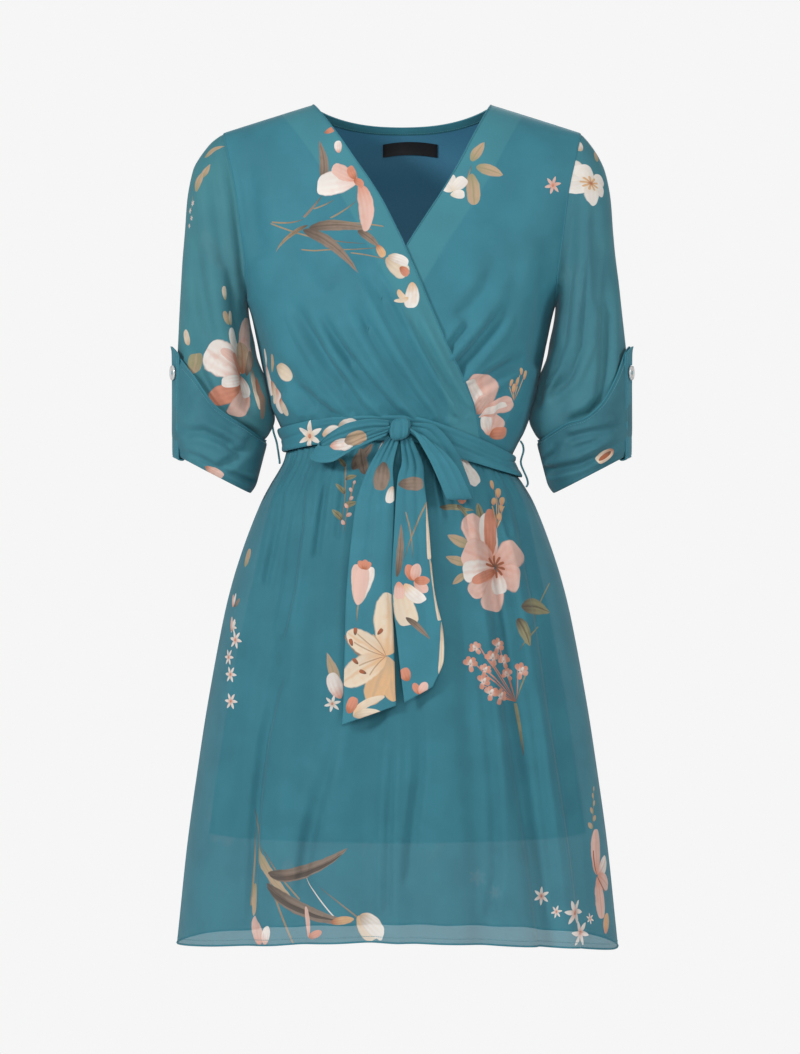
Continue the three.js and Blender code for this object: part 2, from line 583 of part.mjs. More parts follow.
// Sleeves: tubes whose first ring is the armhole
function armholePoint(sign, turn) {
  const level = mix(ARMPIT_Z, SHOULDER_TIP.z, (1 + Math.cos(turn)) / 2);
  const side = Math.sin(turn) > 0 ? "front" : "back";
  return bodyPoint(side, sideAngle(Math.max(level, ARMPIT_Z + 0.01), sign), level);
}
function ringPoint(ring, sign, turn, grow = 0) {
  const outer = new THREE.Vector2(ring.outX, ring.outZ);
  const inner = new THREE.Vector2(ring.inX, ring.inZ);
  const middle = outer.clone().add(inner).multiplyScalar(0.5);
  const reach = outer.clone().sub(inner).multiplyScalar(0.5);
  const scale = Math.cos(turn) * (1 + grow / reach.length());
  const depth = (ring.depth + grow) * Math.sin(turn);
  return new THREE.Vector3(sign * (middle.x + reach.x * scale), -depth, middle.y + reach.y * scale);
}
function sleeveSurface({ sign, slim }) {
  const last = SLEEVE.length;
  return (u, v) => {
    const turn = 2 * Math.PI * u;
    const order = v * last;
    const ring = section(SLEEVE, clamp((order - 1) / (last - 1)));
    const slimmer = slim * (1 - smooth((order - SLIM_RINGS.full) / (SLIM_RINGS.none - SLIM_RINGS.full)));
    ring.outX -= slimmer * smooth(order / 2);
    const degrees = ((((u * 360 + 180) % 360) + 360) % 360) - 180;
    const folded = SLEEVE_FOLDS.map((fold) => {
      const length = smooth((order - fold.from) / 2) * smooth((fold.to + 1 - order) / 2);
      return fold.depth * length * bell((degrees - fold.turn) / fold.half);
    });
    const own = ringPoint(ring, sign, turn, -Math.max(...folded));
    const armhole = armholePoint(sign, turn);
    armhole.x += sign * mix(SLEEVE_START.shoulder, SLEEVE_START.armpit, smooth((1 - Math.cos(turn)) / 2));
    return armhole.lerp(own, (smooth(order / SLEEVE_EASE) + clamp(order / SLEEVE_EASE)) / 2);
  };
}
function cuffRing(level) {
  const keys = Object.keys(CUFF.top);
  return Object.fromEntries(keys.map((key) => [key, mix(CUFF.top[key], CUFF.bottom[key], level)]));
}
function onCuff(sign, turn, level, off) {
  const at = (t, l) => ringPoint(cuffRing(l), sign, t);
  const point = at(turn, level);
  const normal = at(turn + 0.01, level).sub(point).cross(at(turn, level + 0.01).sub(point)).normalize();
  if (normal.x * sign < 0) normal.negate();
  return { point: point.addScaledVector(normal, off), normal };
}
function tabSurface(sign) {
  return (u, v) => {
    const row = section(TAB_PATH, v);
    const wide = TAB.half / (CUFF.top.depth + CUFF.bottom.depth) * 2;
    return onCuff(sign, radians(TAB.turn) + wide * (2 * u - 1), row.level, row.off).point;
  };
}
function addSleeve(sleeve) {
  const { side, sign } = sleeve;
  const inward = new THREE.Vector3(-sign, 0, 0);
  add(`sleeve_${side}`, wall(sleeveSurface(sleeve), { columns: 20, rows: 13, tube: true, out: inward }), PRINTED);
  const cuff = { columns: 20, rows: 3, tube: true, to: DOUBLE_CLOTH, out: inward };
  add(`cuff_${side}`, wall((u, v) => ringPoint(cuffRing(v), sign, 2 * Math.PI * u), cuff), PRINTED);
  const outward = new THREE.Vector3(sign, 0, 0);
  const strip = { columns: 2, rows: 14, from: -TAB.wall / 2, to: TAB.wall / 2, out: outward };
  add(`tab_${side}`, wall(tabSurface(sign), strip), PRINTED);
  addButton(side, sign);
}

// A domed button that lies on the tab
function addButton(side, sign) {
  const { radius, wall: thick, chamfer, level, seat } = TAB_BUTTON;
  const outline = [
    new THREE.Vector2(0, 0),
    new THREE.Vector2(radius, 0),
    new THREE.Vector2(radius, thick - chamfer),
    new THREE.Vector2(radius - chamfer, thick),
    new THREE.Vector2(0, thick + chamfer / 2),
  ];
  const place = onCuff(sign, radians(TAB.turn), level, seat);
  const button = add(`tab_button_${side}`, closed(new THREE.LatheGeometry(outline, 16)), PEARL);
  button.position.copy(place.point);
  button.quaternion.setFromUnitVectors(new THREE.Vector3(0, 1, 0), place.normal);
}

// Skirt
function skirtShape(side, angle, z) {
  const round = (read(BODY, "half", z) + read(BODY, side, z)) / 2;
  const growth = smooth((FOLD_LEVELS.waist - z) / FOLD_GROWTH);
  const [a, b] = z < FOLD_LEVELS.mid ? ["mid", "hem"] : ["waist", "mid"];
  const share = clamp((z - FOLD_LEVELS[a]) / (FOLD_LEVELS[b] - FOLD_LEVELS[a]));
  const folds = SKIRT_FOLDS[side].map((fold) => {
    const at = (level) => Math.asin(clamp(fold[level] / read(BODY, "half", FOLD_LEVELS[level]), -1, 1));
    const distance = (angle - mix(at(a), at(b), share)) * round;
    return fold.depth * growth * bell(distance / (fold.half * mix(0.6, 1, growth)));
  });
  const fade = bell((FOLD_LEVELS.waist - z) / GATHERS.fade);
  const gather = GATHERS.depth * fade * (0.5 - 0.5 * Math.cos(angle * 2 * GATHERS[side]));
  const seam = smooth((RIGHT_ANGLE - Math.abs(angle)) / 0.16);
  return -seam * (Math.max(...folds) + gather);
}
function hemZ(side, angle) {
  const degrees = (angle * 180) / Math.PI;
  const turn = side === "front" ? degrees : Math.sign(degrees || 1) * (180 - Math.abs(degrees));
  return read(HEM, "z", turn, "turn");
}
const SKIRT_WIDENING = 1.25; // the rows stand closer at the waist than at the hem
function skirtSurface(side) {
  return (u, v) => {
    const angle = mix(-RIGHT_ANGLE, RIGHT_ANGLE, u);
    const z = mix(waistZ(side, angle) - WAIST_GAP, hemZ(side, angle), v ** SKIRT_WIDENING);
    return bodyPoint(side, angle, z).addScaledVector(awayFromMiddle(side, angle), skirtShape(side, angle, z));
  };
}
function addSkirt() {
  add("skirt_front", wall(skirtSurface("front"), { columns: 52, rows: 9, out: AHEAD }), PRINTED);
  add("skirt_back", wall(skirtSurface("back"), { columns: 38, rows: 8, out: BEHIND }), PRINTED);
  const plain = (side) => (u, v) => {
    const angle = mix(-RIGHT_ANGLE, RIGHT_ANGLE, u);
    const z = mix(waistZ(side, angle) - LINING_INSET.below, LINING_HEM_Z, v ** SKIRT_WIDENING);
    const inset = mix(LINING_INSET.top, LINING_INSET.low, smooth((FOLD_LEVELS.waist - z) / FOLD_GROWTH));
    return bodyPoint(side, angle, z).addScaledVector(awayFromMiddle(side, angle), -inset);
  };
  const [front, back] = [plain("front"), plain("back")];
  const tube = (u, v) => {
    const turn = ((u % 1) + 1) % 1;
    return turn < 0.5 ? front(turn * 2, v) : back(2 - turn * 2, v);
  };
  add("skirt_lining", wall(tube, { columns: 32, rows: 5, to: 1, tube: true, out: AHEAD }), LINING);
}

// Sash: a band round the waist, and the strips of its bow, which lie off the body by their own lift
function sashSurface(u, v) {
  const turn = 2 * Math.PI * u;
  const side = Math.cos(turn) > 0 ? "front" : "back";
  const angle = Math.asin(Math.sin(turn));
  const level = read(SASH_LINE[side], "z", Math.sin(turn), "share");
  return bodyPoint(side, angle, level + SASH.half * (2 * v - 1));
}
function liftedPoint(x, z, lift) {
  const angle = angleAt(x, z);
  return onBody("front", x, z).addScaledVector(awayFromMiddle("front", angle), lift);
}
function addSash() {
  const top = SASH.lift + DOUBLE_CLOTH;
  const band = { columns: 48, rows: 2, from: SASH.lift, to: top, tube: true, out: BEHIND };
  add("sash", wall(sashSurface, band), PRINTED);
  const knot = closed(new THREE.SphereGeometry(1, KNOT.wide, KNOT.high));
  const seat = liftedPoint(KNOT.x, KNOT.z, KNOT.lift);
  knot.scale(KNOT.halfX, KNOT.halfY, KNOT.halfZ);
  knot.translate(seat.x, seat.y, seat.z);
  add("sash_knot", knot, PRINTED);
  for (const [name, rows] of Object.entries(BOW)) {
    const strip = (u, v) => {
      const row = section(rows, v);
      const across = 2 * u - 1;
      return liftedPoint(row.x + row.edgeX * across, row.z + row.edgeZ * across, row.lift);
    };
    const steps = { columns: BOW_FACES, rows: 2 * (rows.length - 1), from: -CLOTH / 2, to: CLOTH / 2, out: AHEAD };
    add(name, wall(strip, steps), PRINTED);
  }
}

// Thread loops at the side seams: a thin tube along each route, with flat ends
function addCarrier(name, { sign, route }) {
  const at = (t) => {
    const row = section(route, t);
    const side = read(BODY, "half", row.z) + sign * read(BODY, "shift", row.z);
    return new THREE.Vector3(sign * (side + row.off), 0, row.z);
  };
  const points = [];
  for (let j = 0; j <= THREAD.steps; j++) {
    const t = j / THREAD.steps;
    const ahead = at(Math.min(1, t + 0.01)).sub(at(Math.max(0, t - 0.01))).normalize();
    const up = ahead.clone().cross(BEHIND);
    for (let i = 0; i < THREAD.faces; i++) {
      const turn = (2 * Math.PI * i) / THREAD.faces;
      const reach = BEHIND.clone().multiplyScalar(Math.cos(turn)).addScaledVector(up, Math.sin(turn));
      points.push(at(t).addScaledVector(reach, THREAD.radius));
    }
  }
  const faces = [];
  for (let j = 0; j < THREAD.steps; j++) {
    const [a, b] = [j * THREAD.faces, (j + 1) * THREAD.faces];
    for (let i = 0; i < THREAD.faces; i++) {
      const next = (i + 1) % THREAD.faces;
      faces.push(a + i, a + next, b + next, a + i, b + next, b + i);
    }
  }
  const end = THREAD.steps * THREAD.faces;
  for (let i = 1; i < THREAD.faces - 1; i++) faces.push(0, i + 1, i, end, end + i, end + i + 1);
  add(name, geometryOf(points, faces), PRINTED);
}

addFronts();
addBack();
SLEEVES.forEach(addSleeve);
addSkirt();
addSash();
Object.entries(CARRIERS).forEach(([name, carrier]) => addCarrier(name, carrier));

export default dress;
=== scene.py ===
# %% [markdown]
# # A wrap dress in printed chiffon
# This script dresses the solid model of a short wrap dress. The solids give every sewn piece its
# place and size. Here each piece becomes a fine sheet of cloth with its folds, its sewing and its
# flower print. The imported model comes in first.

# %% Load the frame
import json
import math

import bpy
import numpy as np
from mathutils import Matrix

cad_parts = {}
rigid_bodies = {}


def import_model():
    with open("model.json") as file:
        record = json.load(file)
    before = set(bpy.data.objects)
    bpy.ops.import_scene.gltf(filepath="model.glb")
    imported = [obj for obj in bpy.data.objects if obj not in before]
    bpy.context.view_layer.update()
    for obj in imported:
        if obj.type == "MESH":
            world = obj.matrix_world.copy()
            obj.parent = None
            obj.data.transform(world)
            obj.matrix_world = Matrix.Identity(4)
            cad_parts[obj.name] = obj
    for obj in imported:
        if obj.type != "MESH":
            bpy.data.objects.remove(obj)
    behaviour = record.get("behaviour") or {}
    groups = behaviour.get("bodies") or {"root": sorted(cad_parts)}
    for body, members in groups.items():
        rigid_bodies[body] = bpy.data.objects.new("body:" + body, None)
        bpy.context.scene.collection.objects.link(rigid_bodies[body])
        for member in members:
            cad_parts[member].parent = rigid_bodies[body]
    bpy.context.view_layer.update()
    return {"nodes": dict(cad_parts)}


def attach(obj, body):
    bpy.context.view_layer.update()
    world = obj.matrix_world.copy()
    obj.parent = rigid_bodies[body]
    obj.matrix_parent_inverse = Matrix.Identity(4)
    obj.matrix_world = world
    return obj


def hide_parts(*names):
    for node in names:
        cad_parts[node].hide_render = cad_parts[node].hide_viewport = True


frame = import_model()
scene = bpy.context.scene
print("solid nodes:", len(frame["nodes"]))

# %% [markdown]
# ## Form of the body
# Cloth that is worn takes the form of what is inside it. A sculpted body would work, but a few
# measured sections are easier to read and to change: at each height, half the width and the depth
# in front of and behind the side seams. All tables are in millimetres. Heights start at the neck
# ends of the shoulder seams and depths at the side seams, and the front faces -Y. A smooth curve
# through the rows of a table gives every value in between.

# %% Reading tables
MM = 0.001
RIGHT_ANGLE = math.pi / 2


def columns(names, *rows):
    """A table as one array for each named column."""
    return {name: np.array(values, float) for name, values in zip(names.split(), zip(*rows))}


def mix(a, b, t):
    return a + (b - a) * t


def smooth(t):
    t = np.clip(t, 0, 1)
    return t * t * (3 - 2 * t)


def bell(t):
    return np.exp(-t * t)


def read(table, key, at, by="z"):
    """Values of a column along a smooth curve through the table's rows."""
    xs, ys = table[by], table[key]
    if xs[0] > xs[-1]:
        xs, ys = xs[::-1], ys[::-1]
    slopes = np.diff(ys) / np.diff(xs)
    inner = (ys[2:] - ys[:-2]) / (xs[2:] - xs[:-2])
    slopes = np.concatenate([slopes[:1], inner, slopes[-1:]])
    at = np.clip(at, xs[0], xs[-1])
    i = np.clip(np.searchsorted(xs, at, side="right") - 1, 0, len(xs) - 2)
    span = xs[i + 1] - xs[i]
    t = (at - xs[i]) / span
    start = ys[i] * (1 + 2 * t) * (1 - t) ** 2 + slopes[i] * span * t * (1 - t) ** 2
    end = ys[i + 1] * t * t * (3 - 2 * t) - slopes[i + 1] * span * t * t * (1 - t)
    return start + end


def section(table, t):
    """Every column at a place between a table's first row (0) and its last (1)."""
    count = len(next(iter(table.values())))
    numbered = {**table, "order": np.linspace(0, 1, count)}
    return {key: read(numbered, key, t, "order") for key in table}


# %% Sections of the body
NECK_SIDE = {"x": 95, "z": 0}
SHOULDER_TIP = {"x": 190, "z": -30}
SHOULDER_ROLL = 70
BACK_NECK_DROP = 15
ARMPIT_Z = -213
LINING_HEM_Z = -775
BODY = columns(
    "z half front back shift",
    (5, 222, 62, 62, 0),
    (-53, 214, 70, 74, 0),
    (-92, 203, 79, 86, 0),
    (-136, 192, 93, 94, 0),
    (-184, 177, 108, 96, 0),
    (-213, 163, 115, 94, 0),
    (-251, 154, 118, 91, 0),
    (-285, 147, 112, 88, 0),
    (-320, 139, 101, 84, 0.5),
    (-347, 128.5, 92, 81, 1.5),
    (-362, 122, 89, 81, 0),
    (-379, 120, 89, 84, -5),
    (-391, 125, 93, 90, -6),
    (-405, 134, 99, 98, -5.5),
    (-424, 144.5, 106, 107, -5),
    (-464, 160.5, 114, 119, -5),
    (-507, 174.5, 120, 127, -5),
    (-550, 185, 126, 132, -5),
    (-636, 201, 134, 139, -5),
    (-700, 211, 139, 143, -5),
    (-786, 223, 145, 148, -5),
    (-871, 232, 150, 151, -5),
    (-910, 236, 153, 153, -5),
)
ARMHOLE = columns(
    "z x", (-213, 163), (-184, 163), (-136, 169.5), (-92, 175.5), (-53, 184.5), (-30, 190)
)


def across(xs, ys, zs):
    """Points from three arrays that are made the same shape."""
    return np.stack(np.broadcast_arrays(xs, ys, zs), axis=-1).astype(float)


def shoulder_z(x):
    fall = (NECK_SIDE["z"] - SHOULDER_TIP["z"]) / (SHOULDER_TIP["x"] - NECK_SIDE["x"])
    return NECK_SIDE["z"] + (NECK_SIDE["x"] - np.abs(x)) * fall


def facing(side):
    return -1 if side == "front" else 1


def angle_at(x, z):
    return np.arcsin(np.clip((x - read(BODY, "shift", z)) / read(BODY, "half", z), -1, 1))


def body_point(side, angle, z):
    """A point on the body: the angle is 0 in the middle and a right angle at the side seams."""
    x = read(BODY, "half", z) * np.sin(angle) + read(BODY, "shift", z)
    below = np.clip((shoulder_z(x) - z) / SHOULDER_ROLL, 0, 1)
    depth = read(BODY, side, z) * np.cos(angle) * np.sqrt(1 - (1 - below) ** 2)
    return across(x, facing(side) * depth, z)


def outward(side, angle):
    return across(np.sin(angle), facing(side) * np.cos(angle), 0)


def on_body(side, x, z, lift=0):
    angle = angle_at(x, z)
    return body_point(side, angle, z) + outward(side, angle) * np.asarray(lift)[..., None]


def side_angle(z, sign):
    """Angle of the side seam, and above the armpit of the armhole's edge."""
    armhole = angle_at(sign * read(ARMHOLE, "x", z), z)
    return np.where(z <= ARMPIT_Z, sign * RIGHT_ANGLE, armhole)


NAPE = body_point("back", 0, -BACK_NECK_DROP)
print("nape, from the middle of the body:", NAPE.round(1))

# %% [markdown]
# ## Camera, light and floor
# The photograph is a straight front view with the camera level with the waist. Its scale comes
# from the dress: 1.07 mm of dress to a pixel at the depth of the side seams. Everything that is
# placed, such as a fold or a printed flower, is given by the pixel where it is seen, so one
# function has to say where any point of the dress appears. Catalogue pictures are lit evenly, but
# folds need some direction to show: the main soft lamp stands to the left, and the pale surround
# gives less than half of the light. The background itself stays as bright as in the photograph.

# %% Camera, light and floor
PHOTO = {"width": 800, "height": 1054, "mm_per_px": 1.07, "middle": 402, "shoulder": 106}
CAMERA = {"away": 3300, "level": -450}
SENSOR = 36
BACKGROUND = (0.921, 0.921, 0.921)
SURROUND = 0.3
FLOOR_BELOW_NAPE = 1.43
FLOOR_SIZE = 4.4


def seen(points):
    """The pixel of the photograph where each point of the dress is seen."""
    nearer = 1 + points[..., 1] / CAMERA["away"]
    x = points[..., 0] / nearer
    z = CAMERA["level"] + (points[..., 2] - CAMERA["level"]) / nearer
    px = PHOTO["middle"] + x / PHOTO["mm_per_px"]
    return px, PHOTO["shoulder"] - z / PHOTO["mm_per_px"]


def metres(points):
    """Points of the tables in the frame's own metres, which start at the nape."""
    return (np.asarray(points) - NAPE) * MM


def area_lamp(name, place, aim, size, watts):
    data = bpy.data.lights.new(name, "AREA")
    data.shape, data.size, data.energy = "DISK", size, watts
    lamp = bpy.data.objects.new(name, data)
    scene.collection.objects.link(lamp)
    lamp.location = place
    direction = np.array(aim) - np.array(place)
    lamp.rotation_mode = "XYZ"
    flat = math.hypot(direction[0], direction[1])
    lamp.rotation_euler = (math.atan2(flat, -direction[2]), 0, math.atan2(-direction[0], direction[1]))
    return lamp


camera = bpy.data.objects.new("camera", bpy.data.cameras.new("camera"))
scene.collection.objects.link(camera)
scene.camera = camera
middle_x = (PHOTO["width"] / 2 - PHOTO["middle"]) * PHOTO["mm_per_px"]
camera.location = metres((middle_x, -CAMERA["away"], CAMERA["level"]))
camera.rotation_euler = (RIGHT_ANGLE, 0, 0)
camera.data.sensor_width = SENSOR
camera.data.lens = SENSOR * CAMERA["away"] / (PHOTO["height"] * PHOTO["mm_per_px"])

scene.view_settings.view_transform = "Standard"
world = bpy.data.worlds.new("pale_surround")
scene.world = world
world.use_nodes = True
sky = world.node_tree.nodes["Background"]
sky.inputs["Color"].default_value = (*BACKGROUND, 1)
rays = world.node_tree.nodes.new("ShaderNodeLightPath")
strength = world.node_tree.nodes.new("ShaderNodeMapRange")
strength.inputs["To Min"].default_value = SURROUND
world.node_tree.links.new(rays.outputs["Is Camera Ray"], strength.inputs["Value"])
world.node_tree.links.new(strength.outputs[0], sky.inputs["Strength"])
area_lamp("lamp_left", (-2.3, -2.3, 0.8), (0, 0, -0.4), 0.7, 58)
area_lamp("lamp_right", (2.5, -1.5, 0.5), (0, 0, -0.4), 0.9, 26)
area_lamp("lamp_front", (0.1, -3.1, 0.5), (0, 0, -0.4), 0.9, 20)
area_lamp("lamp_behind", (0.4, 2.6, 1.2), (0, 0, -0.4), 1.8, 30)

floor_mesh = bpy.data.meshes.new("floor")
half = FLOOR_SIZE / 2
corners = [(x, y, -FLOOR_BELOW_NAPE) for x, y in ((-half, -half), (half, -half), (half, half), (-half, half))]
floor_mesh.from_pydata(corners, [], [(0, 1, 2, 3)])
floor = bpy.data.objects.new("floor", floor_mesh)
scene.collection.objects.link(floor)
print("lens:", round(camera.data.lens, 1), "mm")

# %% [markdown]
# ## A sheet of cloth
# Each sewn piece is a grid of points on its own surface. One class holds such a grid and knows
# three things about each point: the way out of the cloth, for lifting folds; the pixel where it is
# seen, for placing them; and its place on the flat cloth, for weave and print. The flat place is
# the distance round the body and the height, since the dress hangs nearly like a cylinder.
# Blender's cloth simulation could find folds by itself, but not the ones in the photograph, so
# they are laid one by one as soft troughs along short lines.

# %% Sheets and folds


class Cloth:
    """A grid of points. u runs along the rows and v from row to row."""

    def __init__(self, surface, cols, rows, out, tube=False, flat=None):
        self.u, self.v = np.meshgrid(np.linspace(0, 1, cols + 1), np.linspace(0, 1, rows + 1))
        self.points = surface(self.u, self.v)
        self.tube, self.flip = tube, False
        self.measure()
        if self.normals[rows // 2, cols // 2] @ np.array(out) < 0:
            self.flip = True
            self.measure()
        self.s, self.t = flat(self) if flat else (self.points[..., 0], self.points[..., 2])

    def measure(self):
        """Finds the normals and the pixels of the points."""
        p = self.points
        if self.tube:
            ringed = np.concatenate([p[:, -2:-1], p, p[:, 1:2]], axis=1)
            along = ringed[:, 2:] - ringed[:, :-2]
        else:
            along = np.gradient(p, axis=1)
        normals = np.cross(along, np.gradient(p, axis=0))
        normals /= np.maximum(np.linalg.norm(normals, axis=-1, keepdims=True), 1e-9)
        self.normals = -normals if self.flip else normals
        self.px, self.py = seen(p)

    def lift(self, amount):
        """Moves the points out along their normals."""
        self.points = self.points + self.normals * np.broadcast_to(amount, self.u.shape)[..., None]
        self.measure()
        return self

    def corners(self, values):
        """Values at the four corners of each face, in the order of the mesh's corners."""
        a, b = values[:-1, :-1], values[:-1, 1:]
        c, d = values[1:, 1:], values[1:, :-1]
        order = (a, d, c, b) if self.flip else (a, b, c, d)
        stacked = np.stack(order, axis=2)
        return stacked.reshape(-1, 4, *values.shape[2:])


RIDGE = {"share": 0.42, "place": 2.1, "width": 0.95}


def trough(cloth, lines):
    """Depth of the folds at each point, with a soft ridge along both sides of every fold.

    Each line is (half width, depth, [(px, py), ...]).
    """
    sunk, raised = np.zeros(cloth.u.shape), np.zeros(cloth.u.shape)
    for half_width, depth, line in lines:
        line = np.array(line, float)
        lengths = np.linalg.norm(np.diff(line, axis=0), axis=1)
        starts = np.concatenate([[0], np.cumsum(lengths)])
        nearest = np.full(cloth.u.shape, 1e9)
        along = np.zeros(cloth.u.shape)
        for i, length in enumerate(lengths):
            step = (line[i + 1] - line[i]) / length
            dx, dy = cloth.px - line[i, 0], cloth.py - line[i, 1]
            t = np.clip(dx * step[0] + dy * step[1], 0, length)
            far = np.hypot(dx - t * step[0], dy - t * step[1])
            along = np.where(far < nearest, (starts[i] + t) / starts[-1], along)
            nearest = np.minimum(far, nearest)
        strength = depth * smooth(along / 0.4) ** 0.7 * smooth((1 - along) / 0.08)
        strength = strength * smooth(-cloth.normals[..., 1] * 3)
        away = nearest * PHOTO["mm_per_px"] / half_width
        sunk = np.maximum(sunk, strength * bell(away))
        ridge = bell((away - RIDGE["place"]) / RIDGE["width"])
        raised = np.maximum(raised, strength * RIDGE["share"] * ridge)
    return sunk - raised


def body_flat(side):
    """Flat place of cloth on the body: distance round it from the middle, and height."""
    steps = (np.arange(12) + 0.5) / 12

    def flat(cloth):
        z = cloth.points[..., 2]
        angle = angle_at(cloth.points[..., 0], z)
        turns = angle[..., None] * steps
        wide = read(BODY, "half", z)[..., None] * np.cos(turns)
        deep = read(BODY, side, z)[..., None] * np.sin(turns)
        return np.hypot(wide, deep).mean(axis=-1) * angle, z

    return flat


# %% [markdown]
# ## Shader maths
# The finishes below need a lot of arithmetic on sockets. Wrapping a socket in a small class with
# Python's own operators keeps that readable: `1 - mask` adds a Math node by itself. Colours go
# through Mix nodes, because a Math node would turn them grey.

# %% Shader maths as expressions


class Shade:
    """A socket of a material's node tree, with Python's operators."""

    def __init__(self, tree, socket):
        self.tree, self.socket = tree, socket

    def math(self, operation, *values):
        return node(self.tree, "ShaderNodeMath", {"operation": operation}, values)

    def __add__(self, other):
        return self.math("ADD", self, other)

    def __sub__(self, other):
        return self.math("SUBTRACT", self, other)

    def __rsub__(self, other):
        return self.math("SUBTRACT", other, self)

    def __mul__(self, other):
        return self.math("MULTIPLY", self, other)

    def __truediv__(self, other):
        return self.math("DIVIDE", self, other)

    def __pow__(self, other):
        return self.math("POWER", self, other)

    __radd__ = __add__
    __rmul__ = __mul__

    def call(self, operation, *others):
        return self.math(operation, self, *others)

    def ramp(self, low, high):
        """0 below low, 1 above high and a smooth step between."""
        settings = {"interpolation_type": "SMOOTHSTEP"}
        return node(self.tree, "ShaderNodeMapRange", settings, (self, low, high))


def node(tree, kind, settings=None, values=(), out=0):
    """Adds a node, sets it up, fills its sockets and returns one of its outputs."""
    made = tree.nodes.new(kind)
    for key, value in (settings or {}).items():
        setattr(made, key, value)
    pairs = values.items() if isinstance(values, dict) else enumerate(values)
    for key, value in pairs:
        if isinstance(value, Shade):
            tree.links.new(value.socket, made.inputs[key])
        else:
            made.inputs[key].default_value = value
    return Shade(tree, made.outputs[out])


def mixed(tree, factor, a, b, blend="MIX"):
    """A mix of two colours, which are sockets or red, green and blue."""
    values = {0: factor}
    for index, colour in ((6, a), (7, b)):
        values[index] = colour if isinstance(colour, Shade) else (*colour, 1)
    return node(tree, "ShaderNodeMix", {"data_type": "RGBA", "blend_type": blend}, values, out=2)


def linear(text):
    """A colour from its usual hexadecimal form."""
    channels = [int(text[i : i + 2], 16) / 255 for i in (0, 2, 4)]
    return tuple(c / 12.92 if c < 0.04045 else ((c + 0.055) / 1.055) ** 2.4 for c in channels)


def new_material(name):
    """A material with its tree and its Principled node."""
    material = bpy.data.materials.new(name)
    material.use_nodes = True
    return material, material.node_tree, material.node_tree.nodes["Principled BSDF"]


def plug(tree, socket, value):
    tree.links.new(value.socket, socket)


# %% [markdown]
# ## Chiffon and its print
# Chiffon is a thin crepe weave: matt, with a faint sheen, and so open that light comes through a
# single layer. The flower print can't be an image here. It is drawn the way a textile painter
# would: petal by petal. Every petal, leaf and stem is one small outline with its own coordinates,
# `x` from its base to its tip and `y` across it. The faces that a petal covers carry these
# coordinates as an attribute, and one formula in the shader turns them into a crisp outline with
# veins and a gradient. Petals that overlap lie in different layers, painted one after another.

# %% The chiffon material
THREADS_PER_MM = 1.1
PETAL_RISE = 0.55
RIB_STEPS = 9


def petal_layer(tree, colour, k, wobble, streak, patches):
    """Paints one layer of petals over a colour."""
    place = node(tree, "ShaderNodeAttribute", {"attribute_name": f"petal{k}"}, out=1)
    main = node(tree, "ShaderNodeAttribute", {"attribute_name": f"main{k}"}, out=0)
    deep = node(tree, "ShaderNodeAttribute", {"attribute_name": f"deep{k}"}, out=0)
    x = node(tree, "ShaderNodeSeparateXYZ", None, (place,), 0)
    y = Shade(tree, x.socket.node.outputs[1])
    code = Shade(tree, x.socket.node.outputs[2])
    inside = x.call("MAXIMUM", 0.0001).call("MINIMUM", 0.9999)
    width = (inside**PETAL_RISE) * ((1 - inside) ** code.call("FRACT"))
    reach = (y + wobble).call("ABSOLUTE")
    mask = (width - reach).ramp(0, 0.07) * x.ramp(0, 0.01) * (1 - x.ramp(0.99, 1))
    side = reach / (width + 0.01)
    vein = (y * 19 / (width + 0.3) + streak * 5).call("SINE") * 0.5 + 0.5
    painted = mixed(tree, inside.ramp(-0.1, 0.5), deep, main)
    painted = mixed(tree, vein * (1 - inside) * 0.4, painted, deep)
    painted = mixed(tree, side.ramp(0.8, 1.0) * 0.5, painted, deep)
    painted = mixed(tree, patches * (1 - inside * 0.5), painted, deep)
    rib = code.call("FLOOR") / RIB_STEPS
    painted = mixed(tree, rib * (1 - side.ramp(0.03, 0.2)), painted, deep)
    painted = mixed(tree, y.ramp(-0.5, 0.6) * 0.16, painted, (0.25, 0.2, 0.18))
    return mixed(tree, mask, colour, painted)


